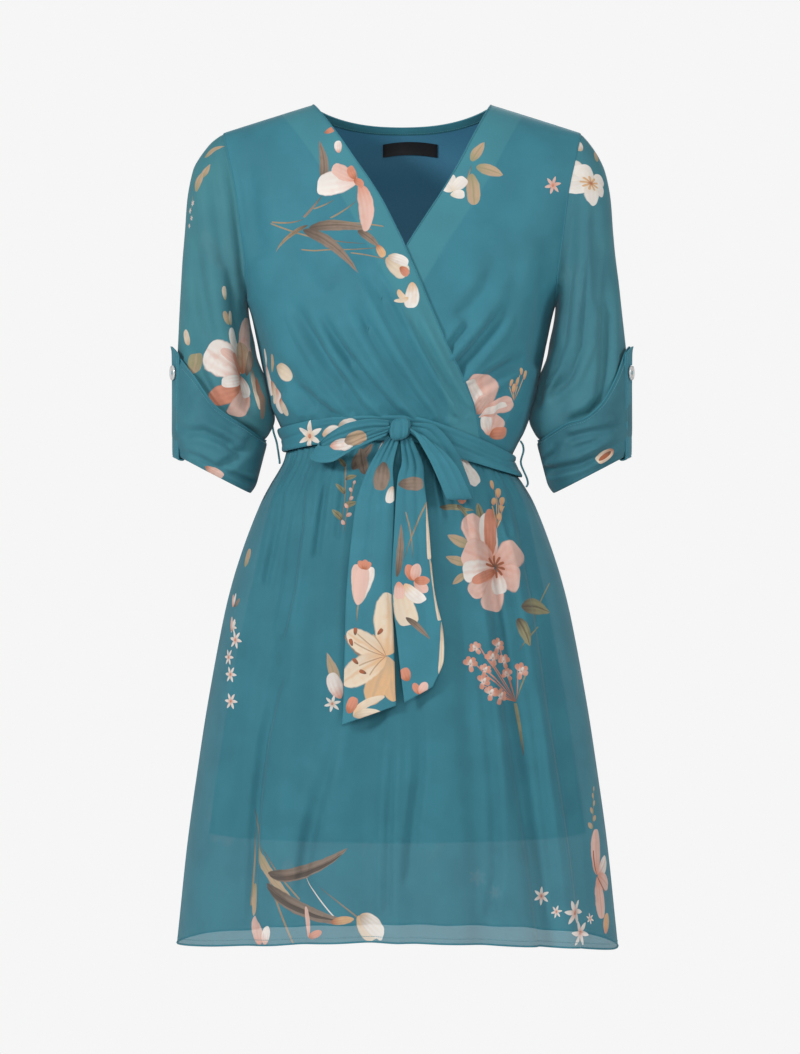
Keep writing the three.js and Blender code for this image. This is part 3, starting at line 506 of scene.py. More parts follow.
def chiffon(name, layers=0, alpha=1.0, colour="3c8292", shade="387a8a", pale="55989f"):
    """Printed chiffon with a number of petal layers. An alpha below 1 lets light through."""
    material, tree, shader = new_material(name)
    place = node(tree, "ShaderNodeTexCoord", None, (), 3)
    cloth = node(tree, "ShaderNodeUVMap", {"uv_map": "cloth"})
    s = node(tree, "ShaderNodeSeparateXYZ", None, (cloth,), 0)
    t = Shade(tree, s.socket.node.outputs[1])
    mottle = node(tree, "ShaderNodeTexNoise", None, {"Vector": place, "Scale": 24, "Detail": 3})
    crepe = node(tree, "ShaderNodeTexNoise", None, {"Vector": place, "Scale": 900, "Detail": 2})
    turns = THREADS_PER_MM / MM * math.tau
    weave = (s * turns).call("SINE") * (t * turns).call("SINE")
    grain = crepe * 0.7 + weave * 0.15
    base = mixed(tree, mottle.ramp(0.3, 0.7), linear(shade), linear(colour))
    facing_band = node(tree, "ShaderNodeAttribute", {"attribute_name": "facing"}, out=2)
    base = mixed(tree, facing_band * 0.3, base, linear(pale))
    base = mixed(tree, grain.ramp(0.25, 0.65) * 0.1, base, (0.02, 0.1, 0.13))
    if layers:
        ripple = node(tree, "ShaderNodeTexNoise", None, {"Vector": place, "Scale": 120, "Detail": 1})
        wobble = (ripple - 0.5) * 0.13
        for k in range(layers):
            base = petal_layer(tree, base, k, wobble, mottle, ripple.ramp(0.5, 0.72) * 0.32)
    plug(tree, shader.inputs["Base Color"], base)
    plug(tree, shader.inputs["Roughness"], grain * 0.2 + 0.62)
    bump = node(tree, "ShaderNodeBump", None, {"Strength": 0.35, "Distance": 0.0002, "Height": grain})
    plug(tree, shader.inputs["Normal"], bump)
    shader.inputs["Sheen Weight"].default_value = 0.12
    shader.inputs["Sheen Roughness"].default_value = 0.4
    shader.inputs["Specular IOR Level"].default_value = 0.25
    shader.inputs["Alpha"].default_value = alpha
    return material


floor_material, _, floor_shader = new_material("pale_floor")
floor_shader.inputs["Base Color"].default_value = (0.8, 0.8, 0.8, 1)
floor_shader.inputs["Roughness"].default_value = 0.9
floor_mesh.materials.append(floor_material)
plain_chiffon = chiffon("chiffon_plain")
print("plain chiffon:", len(plain_chiffon.node_tree.nodes), "nodes")

# %% [markdown]
# Petals are gathered into motifs: a magnolia, a lily, a bud, a leaf. A motif is a plain list of
# petals round its own middle, in millimetres and growing upwards, so it can be turned, sized and
# placed anywhere on any piece.

# %% Petals and their painting
WHITE, CREAM, BLUSH, CORAL = "ece6df", "e2d2bc", "e3bdb0", "d58e74"
RUST, PEACH, SAND, TAUPE = "a9603f", "dcb184", "bfa487", "8f7d6e"
OLIVE, BARK, STEM = "97936f", "55473d", "a08a6c"
MOST_LAYERS = 14
COVERED = 0.72
NO_PETAL = 9.0
MARGIN = 2.6


def outline(x, tip):
    """Half width of a petal along its length, before it is sized."""
    return x**PETAL_RISE * (1 - x) ** tip


def petal(x, y, turn, length, half, main, deep, bend=0.0, tip=0.5, rib=0.0):
    """One outline: base at (x, y), turn in degrees clockwise from up, sizes in millimetres."""
    return dict(x=x, y=y, turn=turn, length=length, half=half, main=main, deep=deep, bend=bend, tip=tip, rib=rib)


def placed(petals, x, y, turn=0.0, scale=1.0):
    """Petals moved to a place, turned and sized."""
    c, s = math.cos(math.radians(turn)), math.sin(math.radians(turn))
    moved = []
    for p in petals:
        px, py = p["x"] * scale, p["y"] * scale
        moved.append(
            {
                **p,
                "x": x + px * c + py * s,
                "y": y - px * s + py * c,
                "turn": p["turn"] + turn,
                "length": p["length"] * scale,
                "half": p["half"] * scale,
            }
        )
    return moved


def paint(cloth, petals):
    """Lays petals on a sheet, one over another.

    Each face has its own stack. A petal that covers a face wholly clears what lies below it there,
    so few layers are enough.
    """
    if not hasattr(cloth, "stack"):
        cloth.corner_s, cloth.corner_t = cloth.corners(cloth.s), cloth.corners(cloth.t)
        count = len(cloth.corner_s)
        cloth.level = np.zeros(count, int)
        cloth.stack = {
            "petal": np.full((MOST_LAYERS, count, 4, 3), NO_PETAL),
            "main": np.zeros((MOST_LAYERS, count, 3)),
            "deep": np.zeros((MOST_LAYERS, count, 3)),
        }
    stack = cloth.stack
    for p in petals:
        turn = math.radians(p["turn"])
        ds, dt = cloth.corner_s - p["x"], cloth.corner_t - p["y"]
        x = (ds * math.sin(turn) + dt * math.cos(turn)) / p["length"]
        sideways = ds * math.cos(turn) - dt * math.sin(turn)
        sideways = sideways - p["bend"] * p["length"] * x * np.abs(x)
        tip = min(max(p["tip"], 0.05), 0.95)
        widest = PETAL_RISE / (PETAL_RISE + tip)
        full = outline(widest, tip)
        margin = MARGIN / p["length"]
        towards = np.clip(x + np.clip(widest - x, -margin, margin), 0, 1)
        reach = p["half"] * outline(towards, tip) / full + MARGIN * (1 + abs(p["bend"]))
        near = (x > -margin) & (x < 1 + margin) & (np.abs(sideways) < reach)
        faces = np.flatnonzero(near.any(axis=1))
        if not len(faces):
            continue
        y = sideways / p["half"] * full
        within = (x > 0.02) & (x < 0.98) & (np.abs(y) + 0.1 < outline(np.clip(x, 0.001, 0.999), tip) * COVERED)
        covered = np.flatnonzero(within.all(axis=1))
        stack["petal"][:, covered] = NO_PETAL
        cloth.level[covered] = 0
        crowded = faces[cloth.level[faces] >= MOST_LAYERS]
        for key in stack:
            stack[key][:-1, crowded] = stack[key][1:, crowded]
        cloth.level[crowded] = MOST_LAYERS - 1
        level = cloth.level[faces]
        code = np.full(x.shape, round(p["rib"] * RIB_STEPS) + tip)
        stack["petal"][level, faces] = np.stack([x, y, code], axis=-1)[faces]
        stack["main"][level, faces] = linear(p["main"])
        stack["deep"][level, faces] = linear(p["deep"])
        cloth.level[faces] = level + 1


def spot(cloth, px, py):
    """Place on the flat cloth of the point that is seen at a pixel."""
    hidden = 1e4 * (cloth.normals[..., 1] > 0.2)
    i = np.argmin(np.hypot(cloth.px - px, cloth.py - py) + hidden)
    return cloth.s.flat[i], cloth.t.flat[i]


def draw(cloth, motif, px, py, turn=0.0, scale=1.0):
    """Paints a motif where it is seen in the photograph."""
    paint(cloth, placed(motif, *spot(cloth, px, py), turn, scale))


def draw_flat(cloth, motif, s, t, turn=0.0, scale=1.0):
    """Paints a motif at a place on the flat cloth, for sides that the photograph doesn't show."""
    paint(cloth, placed(motif, s, t, turn, scale))


# %% Motifs
draws = np.random.default_rng(12)


def petals(*rows):
    """Petals from rows: x, y, turn, length, half width, two colours, then bend, tip and rib."""
    return [petal(*row) for row in rows]


def blade(length, bend=0.3, half=None, main=TAUPE, deep=BARK):
    """A long narrow leaf."""
    return petals((0, 0, 0, length, half or length * 0.085, main, deep, bend, 0.85, 0.5))


def leaf(length, bend=0.15, main=OLIVE, deep=BARK):
    return petals((0, 0, 0, length, length * 0.22, main, deep, bend, 0.75, 0.7))


def stem(length, bend=0.1, half=0.8, main=STEM, deep=BARK):
    return petals((0, 0, 0, length, half, main, deep, bend, 0.12))


def drop(length, main=WHITE, deep=CORAL, wide=0.36, tip=0.4, bend=0.05):
    """One loose petal."""
    return petals((0, 0, 0, length, length * wide, main, deep, bend, tip))


def bud(length, main=BLUSH, deep=CORAL):
    """A closed flower: long petals side by side with small curled tips."""
    cup = petals(
        (0, 0, -8, length * 0.92, length * 0.15, main, SAND, -0.06, 0.4),
        (0, 0, 8, length * 0.92, length * 0.15, WHITE, SAND, 0.06, 0.4),
        (0, 0, 0, length * 0.9, length * 0.17, main, BLUSH, 0, 0.35),
    )
    curled = [petal(0, length * 0.82, turn, length * 0.22, length * 0.08, deep, RUST) for turn in (-40, 35, 0)]
    return cup + curled


def star(radius, main=WHITE, deep=CORAL, count=6):
    """A small flower with pointed petals and a red middle."""
    rays = [petal(0, 0, 360 * i / count, radius, radius * 0.19, main, deep, 0.05, 0.7) for i in range(count)]
    return rays + petals((0, -radius * 0.16, 0, radius * 0.32, radius * 0.13, CORAL, RUST))


def open_flower(radius, main=CREAM, deep=PEACH):
    """A flat flower with broad petals of uneven length and a tuft of stamens."""
    broad = [
        petal(0, 0, turn, radius * share, radius * 0.34, main, deep, 0.06, tip)
        for turn, share, tip in ((-62, 0.85, 0.3), (64, 0.9, 0.3), (-12, 0.95, 0.35), (116, 0.8, 0.3), (-118, 0.8, 0.3), (178, 1.1, 0.6))
    ]
    tuft = [petal(0, 0, 40 * i, radius * 0.36, radius * 0.05, PEACH, RUST, 0, 0.2) for i in range(9)]
    return broad + tuft


def side_magnolia():
    """A large magnolia seen from the side, about 100 mm tall."""
    return petals(
        (2, 2, -16, 50, 7, WHITE, SAND, 0, 0.4),
        (0, 0, -52, 50, 20, WHITE, CORAL, -0.08, 0.3, 0.2),
        (4, 4, -44, 36, 6, BLUSH, RUST, -0.1, 0.4),
        (12, 4, 8, 58, 7, TAUPE, BARK, 0, 0.4),
        (6, 4, 10, 60, 10, BLUSH, CORAL, 0.05, 0.35, 0.3),
        (4, 2, 4, 34, 9, SAND, RUST, 0, 0.35, 0.5),
        (8, 0, 18, 28, 4, TAUPE, BARK, 0, 0.4),
        (0, 0, -22, 26, 4, CORAL, RUST, 0, 0.4),
        (0, -10, -122, 34, 12, CORAL, RUST, 0.1, 0.28),
        (4, -12, 196, 32, 11, BLUSH, CORAL, 0, 0.28),
        (2, -4, -98, 26, 7, WHITE, CORAL, 0, 0.3),
        (0, 0, 160, 24, 6, WHITE, RUST, 0.1, 0.35),
        (14, 8, 172, 44, 4, CREAM, BARK, 0, 0.4),
        (20, 0, 174, 46, 4, TAUPE, RUST, 0, 0.4),
    )


def magnolia(scale=1.0):
    """A wide open magnolia with rounded pink petals and a dark middle, about 95 mm across."""
    flower = petals(
        (0, 6, -38, 56, 14, BLUSH, CORAL, 0.05, 0.34, 0.2),
        (0, 6, -14, 50, 12, WHITE, CORAL, 0.05, 0.34, 0.2),
        (-4, 8, -2, 52, 9, CORAL, RUST, 0.05, 0.4),
        (4, -4, 44, 36, 17, BLUSH, CORAL, 0.1, 0.24),
        (4, -8, 100, 27, 15, BLUSH, CORAL, 0.1, 0.26),
        (0, 2, -66, 38, 17, BLUSH, CORAL, 0, 0.26, 0.2),
        (0, -2, -98, 36, 13, WHITE, CORAL, 0, 0.28, 0.2),
        (2, -6, -128, 38, 11, BLUSH, RUST, 0, 0.3),
        (4, -8, -166, 40, 14, BLUSH, CORAL, 0, 0.24),
        (2, -6, 168, 24, 10, WHITE, CORAL, 0, 0.3),
        (2, -5, -112, 30, 6, CORAL, RUST, 0, 0.4),
    )
    flower += [petal(1, -1, turn, 12, 1.5, RUST, BARK, 0.1, 0.2) for turn in range(-80, 200, 35)]
    return placed(flower, 0, 0, 0, scale)


def lily(scale=1.0, main=CREAM, deep=PEACH):
    """A lily seen from the front, with brown ribs and dark anthers, about 110 mm tall."""
    flower = petals(
        (0, 0, 170, 48, 12, deep, SAND, 0, 0.5, 0.6),
        (0, 0, 10, 66, 17, main, deep, -0.16, 0.5, 0.6),
        (0, 0, -62, 48, 13, main, deep, 0.06, 0.5, 0.6),
        (0, 0, -164, 54, 13, deep, SAND, 0.04, 0.5, 0.6),
        (0, 0, -118, 54, 15, main, deep, -0.06, 0.46, 0.6),
    )
    for turn, length, bend in ((-78, 36, 0.2), (-58, 38, 0.1), (-128, 26, -0.2), (-104, 30, -0.1), (-20, 26, -0.2)):
        end = math.radians(turn)
        x, y = length * math.sin(end), length * math.cos(end)
        flower += petals((0, 0, turn, length, 0.8, SAND, RUST, bend, 0.1))
        flower += petals((x, y + bend * length * 0.4, turn + 60, 8, 2.2, RUST, BARK, 0, 0.3))
    return placed(flower, 0, 0, 0, scale)


def rose(radius, main=BLUSH, deep=CORAL):
    """A half open flower of broad petals that wrap round its middle."""
    flower = []
    for turn, share in ((-80, 0.9), (80, 0.9), (-140, 0.8), (140, 0.8), (0, 1.0), (180, 0.75)):
        flower.append(petal(0, 0, turn, radius * share, radius * 0.42, main, deep, 0.1, 0.26))
    for turn in (-50, 50, 170):
        flower.append(petal(0, -0.1 * radius, turn, radius * 0.5, radius * 0.24, WHITE, RUST, 0.25, 0.3))
    return flower


def blossom(size):
    """A small cup of coral petals with white edges."""
    turned = draws.uniform(-40, 40)
    cup = [petal(0, 0, turned + turn, size, size * 0.34, CORAL, WHITE, 0, 0.34) for turn in (-75, 75, -28, 30, 160)]
    return cup + petals((0, -size * 0.1, turned, size * 0.7, size * 0.2, WHITE, RUST, 0, 0.4))


def spray(tips, size, flower=blossom, main=CORAL):
    """Thin stems that spread from one point to small flowers."""
    made = []
    for x, y in tips:
        turn = math.degrees(math.atan2(x, y))
        made += placed(stem(math.hypot(x, y), draws.uniform(-0.12, 0.12), 0.7, main, RUST), 0, 0, turn)
    for x, y in tips:
        made += placed(flower(size * draws.uniform(0.8, 1.15)), x, y)
    return made


def sprig(length, bend=0.1, buds=5, main=CORAL, deep=RUST, size=9):
    """A stem with small buds on short stalks, smaller towards its end."""
    made = stem(length, bend, 0.7)
    for i in range(buds):
        x = (i + 1.2) / (buds + 0.6)
        place = (bend * length * x * x, length * x)
        turn = (58 if i % 2 else -58) * (1.15 - x)
        grown_bud = placed(drop(size * (1.2 - 0.5 * x), main, deep, 0.34, 0.5), *place, turn)
        made += placed(stem(size * 0.5, 0, 0.5), *place, turn) + grown_bud
    return made


def branch(length, bend=0.15, leaves=4, size=22):
    """A stem with leaves to both sides."""
    made = stem(length, bend, 1.0)
    for i in range(leaves):
        x = (i + 0.8) / leaves
        turn = 52 if i % 2 else -48
        made += placed(leaf(size * (1.1 - 0.3 * x), turn / 400), bend * length * x * x, length * x, turn)
    return made


def vine(count, step, size=5.5):
    """Stars one above another, on a wavy stem."""
    made = stem(count * step, 0.03, 0.5)
    for i in range(count):
        side = 2.5 if i % 2 else -2.5
        made += placed(star(size * draws.uniform(0.8, 1.2)), side, i * step, draws.uniform(0, 60))
    return made


# %% [markdown]
# A finished sheet becomes a Blender mesh with its flat place as a UV map and its petals as
# attributes. The petal coordinates belong to the corners of the faces, since they change across a
# face, and the two colours of a petal belong to whole faces.

# %% Meshes from sheets
pieces = {}


def layers_of(cloth):
    """Number of petal layers that a sheet needs."""
    return int(cloth.level.max()) if hasattr(cloth, "level") else 0


def make_cloth(cloth, name, material, facing_share=None):
    """The Blender object of a sheet."""
    rows, cols = cloth.u.shape[0] - 1, cloth.u.shape[1] - 1
    wide = cols if cloth.tube else cols + 1
    number = np.arange(rows + 1)[:, None] * wide + np.arange(cols + 1)[None, :] % wide
    mesh = bpy.data.meshes.new(name)
    faces = cloth.corners(number)
    mesh.from_pydata(metres(cloth.points[:, :wide].reshape(-1, 3)).tolist(), [], faces.tolist())
    mesh.shade_smooth()
    flat = np.stack([cloth.corners(cloth.s), cloth.corners(cloth.t)], axis=-1) * MM
    mesh.uv_layers.new(name="cloth").data.foreach_set("uv", flat.ravel())
    if facing_share is not None:
        band = mesh.attributes.new("facing", "FLOAT", "POINT")
        band.data.foreach_set("value", facing_share[:, :wide].ravel().astype(np.float32))
    for k in range(layers_of(cloth)):
        for key, domain in (("petal", "CORNER"), ("main", "FACE"), ("deep", "FACE")):
            attribute = mesh.attributes.new(f"{key}{k}", "FLOAT_VECTOR", domain)
            attribute.data.foreach_set("vector", cloth.stack[key][k].astype(np.float32).ravel())
    mesh.materials.append(material)
    piece = bpy.data.objects.new(name, mesh)
    scene.collection.objects.link(piece)
    pieces[name] = piece
    print(name, "faces:", len(faces), "petal layers:", layers_of(cloth))
    return piece


def printed(cloth, name, alpha=1.0, facing_share=None, **colours):
    """A sheet in printed chiffon, with as many petal layers as it needs."""
    material = chiffon(f"chiffon_{name}", layers_of(cloth), alpha, **colours)
    return make_cloth(cloth, name, material, facing_share)


# %% [markdown]
# ## Bodice fronts
# The right front lies over the left one and runs to the far side of the waist. Its fullness is
# gathered into the waist seam, so long soft troughs fan out from there. The neck edges are faced
# with a second layer of cloth, which shows as a paler band.

# %% Seams and fronts
OVERLAP_EDGE = columns(
    "z x",
    (0, -95),
    (-66, -56),
    (-126, -23),
    (-183, 3),
    (-263, 43),
    (-288, 57),
    (-306, 66),
    (-335, 76),
    (-362, 80),
)
UNDERLAP_EDGE = columns("z x", (0, -95), (-106, -46), (-180, -5), (-270, 42), (-362, 78))
WAIST_SEAM = {
    "front": columns("share z", (-1, -369), (-0.45, -359), (0, -356), (0.45, -370), (1, -393)),
    "back": columns("share z", (-1, -369), (0, -379), (1, -393)),
}
ROLL_SHARE = 0.25
WIDENING = 1.35
SKIN = 0.9
OVERLAP = {"lift": 1.9, "full": 3.2, "from": -140, "to": -230, "waist": -334, "fade": 22}
FACING = {"width": 37, "edge": 2.5}


def waist_z(side, angle):
    return read(WAIST_SEAM[side], "z", np.sin(angle), "share")


def height_at(v, bottom, top):
    rising = np.clip(v / (1 - ROLL_SHARE), 0, 1) ** WIDENING
    low = mix(bottom, top - SHOULDER_ROLL, rising)
    rolled = top - SHOULDER_ROLL * (1 - np.cos(np.clip((1 - v) / ROLL_SHARE, 0, 1) * RIGHT_ANGLE))
    return np.where(v < 1 - ROLL_SHARE, low, rolled)


def front_panel(sign, edge, edge_sign):
    """A front from its side seam and armhole (u = 0) to its neck edge (u = 1)."""
    last = edge["z"][-1]
    side_bottom = waist_z("front", sign * RIGHT_ANGLE)
    edge_bottom = waist_z("front", angle_at(edge_sign * read(edge, "x", last), last))

    def surface(u, v):
        outer = height_at(v, side_bottom, SHOULDER_TIP["z"])
        inner = height_at(v, edge_bottom, NECK_SIDE["z"])
        angle = mix(side_angle(outer, sign), angle_at(edge_sign * read(edge, "x", inner), inner), u)
        plain = mix(outer, inner, u)
        x = read(BODY, "half", plain) * np.sin(angle) + read(BODY, "shift", plain)
        to_shoulder = shoulder_z(x) - mix(SHOULDER_TIP["z"], NECK_SIDE["z"], u)
        to_waist = waist_z("front", angle) - mix(side_bottom, edge_bottom, u)
        z = plain + to_shoulder * smooth(v / (1 - ROLL_SHARE)) + to_waist * (1 - smooth(v * 3))
        return body_point("front", angle, z)

    return surface


def from_edge(cloth):
    """Distance of each point from the sheet's edge at u = 1, along its row."""
    steps = np.linalg.norm(np.diff(cloth.points, axis=1), axis=-1)
    return np.concatenate([np.cumsum(steps[:, ::-1], axis=1)[:, ::-1], np.zeros((len(steps), 1))], axis=1)


def facing_band(cloth):
    return 1 - smooth((from_edge(cloth) - FACING["width"] + FACING["edge"]) / FACING["edge"])


# Folds: half width and depth in millimetres, and the line in pixels of the photograph
OVERLAP_FOLDS = [
    (7, 4.0, [(276, 350), (294, 378), (318, 410)]),
    (5.5, 4.6, [(293, 296), (311, 330), (332, 366), (351, 394), (366, 416)]),
    (3.6, 2.8, [(318, 362), (338, 390), (356, 414)]),
    (5, 5.0, [(318, 308), (342, 347), (363, 375), (384, 400), (400, 419)]),
    (3.4, 2.6, [(352, 372), (372, 396), (388, 416)]),
    (5.5, 5.0, [(352, 292), (370, 330), (391, 366), (412, 396), (431, 420)]),
    (3.4, 2.6, [(392, 380), (410, 402), (424, 420)]),
    (5.5, 5.6, [(362, 262), (385, 306), (405, 344), (426, 380), (452, 420)]),
    (4, 3.0, [(376, 276), (394, 312), (408, 340)]),
    (4.5, 4.2, [(408, 308), (424, 342), (444, 380), (466, 416)]),
    (3.4, 2.6, [(424, 380), (442, 402), (456, 420)]),
    (5, 3.2, [(296, 380), (318, 400), (338, 418)]),
    (12, 3.0, [(250, 300), (262, 350), (285, 400)]),
    (12, 3.0, [(247, 140), (250, 200), (262, 262)]),
    (10, 2.2, [(300, 230), (318, 262), (334, 290)]),
]
UNDERLAP_FOLDS = [
    (6, 5.4, [(512, 300), (490, 330), (472, 352), (450, 376)]),
    (4, 3.0, [(476, 312), (460, 334), (446, 352)]),
    (5.5, 4.4, [(528, 352), (505, 368), (482, 382), (462, 394)]),
    (10, 3.4, [(548, 230), (543, 310), (535, 372)]),
    (8, 2.6, [(500, 250), (484, 290), (458, 322)]),
    (4, 3.0, [(506, 395), (498, 415), (492, 432)]),
    (4, 2.6, [(490, 400), (486, 416), (484, 430)]),
]
UNDER_CLEAR = 1.5
FRONT_FOLDS = 1.5

right_front = Cloth(front_panel(-1, OVERLAP_EDGE, 1), 150, 130, (0, -1, 0), flat=body_flat("front"))
z = right_front.points[..., 2]
full = smooth((z - OVERLAP["from"]) / (OVERLAP["to"] - OVERLAP["from"]))
full = full * smooth((z - OVERLAP["waist"]) / OVERLAP["fade"] + 0.4)
full = full * smooth(right_front.u / 0.14) * smooth((1 - right_front.u) / 0.07)
lift = OVERLAP["lift"] * smooth(right_front.u / 0.3) * smooth((1 - right_front.v) / 0.12)
lifted = SKIN + lift + OVERLAP["full"] * full
held = smooth(right_front.u / 0.1)
under_edge = -read(UNDERLAP_EDGE, "x", z)
lowest = mix(-8, SKIN + UNDER_CLEAR, smooth((right_front.points[..., 0] - under_edge + 12) / 10))
folds = FRONT_FOLDS * trough(right_front, OVERLAP_FOLDS)
right_front.lift(np.maximum(lifted - folds * held, lowest))

left_front = Cloth(front_panel(1, UNDERLAP_EDGE, -1), 110, 120, (0, -1, 0), flat=body_flat("front"))
held = smooth(left_front.u / 0.1)
left_front.lift(SKIN - FRONT_FOLDS * trough(left_front, UNDERLAP_FOLDS) * held)

# %% Print of the fronts
draw(right_front, stem(30, 0.1, 1.4, TAUPE, BARK), 322, 196, -145)
draw(right_front, blade(46, -0.3, 5.5), 323, 184, 12)
draw(right_front, stem(34, 0.3, 1.0, STEM, BARK), 304, 219, -110)
draw(right_front, stem(24, 0.15, 0.8), 334, 198, -122)
draw(right_front, stem(32, 0.15, 0.9), 356, 199, -132)
draw(right_front, stem(104, 0.2, 0.9), 366, 243, -88)
draw(right_front, stem(88, 0.1, 0.8), 384, 247, -96)
draw(right_front, stem(42, -0.1, 0.7), 390, 262, -72)
draw(right_front, blade(44, -0.36, 2.4, STEM, BARK), 308, 226, -108)
draw(right_front, blade(66, 0.26, 6.5), 308, 227, 78)
draw(right_front, blade(72, 0.42, 6.5, TAUPE, BARK), 302, 229, 106)
draw(right_front, blade(30, 0.2, 4.5), 357, 229, 118)
draw(right_front, stem(56, 0.12, 0.8), 330, 224, 88)
draw(right_front, petals(
    (2, -2, 155, 50, 9, BLUSH, CORAL, 0.3, 0.45),
    (0, 0, -86, 42, 14, WHITE, BLUSH, -0.16, 0.3),
    (0, 2, -64, 30, 8, BLUSH, CORAL, 0.05, 0.35),
    (-2, 3, -36, 15, 5, CORAL, RUST, 0.2, 0.4),
    (-4, 2, 110, 12, 4.5, CORAL, RUST, 0.2, 0.4),
), 357, 180)
draw(right_front, drop(13, CORAL, RUST, 0.24), 325, 133, 62)
draw(right_front, drop(13, WHITE, CORAL, 0.34), 339, 154, -6)
draw(right_front, drop(15, PEACH, RUST, 0.3), 377, 244, 150)
draw(right_front, petals(
    (0, 0, 128, 28, 10, CREAM, SAND, 0.05, 0.3),
    (2, 2, 104, 22, 6, WHITE, SAND, 0.1, 0.35),
    (14, -10, 128, 12, 5, CORAL, RUST, 0.1, 0.35),
), 386, 256)
draw(right_front, petals(
    (0, 0, 168, 20, 4, CREAM, PEACH, -0.6, 0.5),
    (14, 8, 178, 27, 8, WHITE, PEACH, 0.1, 0.3),
    (10, -8, -130, 14, 3, CREAM, PEACH, 0.4, 0.5),
), 398, 290)
for px, py, turn, size, main, deep, wide in (
    (266, 366, -4, 20, WHITE, SAND, 0.2),
    (272, 372, 14, 20, SAND, OLIVE, 0.2),
    (277, 366, 118, 25, CREAM, SAND, 0.34),
    (266, 364, 158, 34, WHITE, CORAL, 0.2),
    (271, 380, 148, 26, CREAM, RUST, 0.3),
    (276, 388, 150, 28, WHITE, CORAL, 0.26),
    (280, 398, 150, 20, CREAM, RUST, 0.3),
    (262, 388, 172, 30, BLUSH, RUST, 0.22),
    (264, 404, 165, 24, TAUPE, BARK, 0.2),
):
    draw(right_front, drop(size, main, deep, wide), px, py, turn)

draw(left_front, stem(16, 0.1), 470, 166, -170)
draw(left_front, leaf(25, 0.1, SAND, OLIVE), 471, 161, 28)
draw(left_front, leaf(30, 0.1, SAND, OLIVE), 476, 166, 100)
draw(left_front, petals((0, 0, 172, 34, 8, SAND, OLIVE, 0.06, 0.4, 0.7)), 471, 173)
for px, py, turn, size in ((452, 190, -10, 18), (452, 190, 40, 20), (450, 194, 84, 15), (452, 192, -60, 14)):
    draw(left_front, drop(size, WHITE, CREAM, 0.34, 0.3), px, py, turn)
draw(left_front, star(10, BLUSH, CORAL), 553, 185, 12)
draw(left_front, petals(
    (0, 0, 0, 40, 19, BLUSH, CORAL, 0.02, 0.24, 0.2),
    (0, 0, -24, 36, 10, WHITE, CORAL, -0.05, 0.3),
    (-6, -2, 30, 24, 8, BLUSH, RUST, 0.05, 0.3),
), 481, 412, 8)
draw(left_front, petals(
    (0, 0, 0, 24, 11, BLUSH, CORAL, 0, 0.3),
    (0, 0, -50, 22, 8, WHITE, CORAL, 0, 0.3),
    (0, 0, 50, 24, 7, CORAL, RUST, 0, 0.3),
), 490, 434, 30)
draw(left_front, petals(
    (0, 0, 0, 46, 9, BLUSH, CORAL, 0.1, 0.3, 0.2),
    (0, -3, 0, 40, 4, WHITE, BLUSH, 0.1, 0.3),
    (40, 0, 100, 44, 8, BLUSH, RUST, 0.05, 0.5, 0.5),
    (44, 6, 82, 40, 5, WHITE, CORAL, 0.05, 0.5),
), 480, 416, 64)
draw(left_front, spray(((-8, 14), (2, 16), (6, 28), (14, 24), (-2, 8)), 9, lambda size: drop(size, PEACH, CORAL, 0.34), PEACH), 514, 400, 6)

printed(right_front, "front_right", facing_share=facing_band(right_front))
printed(left_front, "front_left", facing_share=facing_band(left_front))

# %% [markdown]
# ## Back, its lining, binding and label
# The photograph shows only the inside of the back, through the neck: a plain darker lining, a
# narrow binding along the neck edge and a black satin label. The outside of the back is one plain
# panel, gathered a little at the waist, with the same print.

# %% The back
NECK_REACH = 0.5
NECK_ROUND = 2.6
BACK_CREASES = columns(
    "topX topZ endX endZ half depth",
    (-108, -262, -84, -352, 11, 2.8),
    (-80, -300, -68, -362, 7, 2),
    (-58, -288, -48, -358, 9, 2.6),
    (-24, -310, -20, -366, 7, 1.8),
    (4, -296, 2, -364, 10, 2.6),
    (34, -312, 28, -368, 7, 1.8),
    (62, -286, 50, -366, 9, 2.8),
    (84, -304, 70, -370, 7, 2),
    (104, -258, 86, -366, 11, 3),
)
LABEL = {"x": 9, "z": -36, "halfX": 30, "halfZ": 7, "arch": 3}


def back_top(reach):
    """Top edge of the back: the neck curve, then the shoulder seam."""
    out = mix(NECK_SIDE["x"], SHOULDER_TIP["x"], (reach - NECK_REACH) / (1 - NECK_REACH))
    share = np.clip(reach / NECK_REACH, 0, 1)
    x = np.where(reach > NECK_REACH, out, NECK_SIDE["x"] * share)
    neck = NECK_SIDE["z"] - BACK_NECK_DROP * (1 - share**NECK_ROUND)
    return x, np.where(reach > NECK_REACH, shoulder_z(x), neck)


def back_surface(u, v, creased=True):
    sign = np.where(u < 0.5, -1, 1)
    reach = np.abs(2 * u - 1)
    top_x, top_z = back_top(reach)
    z = height_at(v, waist_z("back", sign * reach * RIGHT_ANGLE), top_z)
    top_share = angle_at(top_x, top_z) / side_angle(top_z, 1)
    angle = side_angle(z, sign) * mix(reach, top_share, smooth(v))
    point = body_point("back", angle, z)
    depth = np.zeros(u.shape)
    for i in range(len(BACK_CREASES["half"])):
        row = {key: column[i] for key, column in BACK_CREASES.items()}
        dx, dz = row["endX"] - row["topX"], row["endZ"] - row["topZ"]
        px, pz = point[..., 0] - row["topX"], point[..., 2] - row["topZ"]
        along = (px * dx + pz * dz) / (dx * dx + dz * dz)
        fade = smooth(along * 2 + 0.3) * (1 - smooth((along - 1) * 4))
        sideways = (px * dz - pz * dx) / math.hypot(dx, dz)
        depth = np.maximum(depth, row["depth"] * fade * bell(sideways / row["half"]))
    return point - outward("back", angle) * (depth * smooth((1 - reach) / 0.2))[..., None]


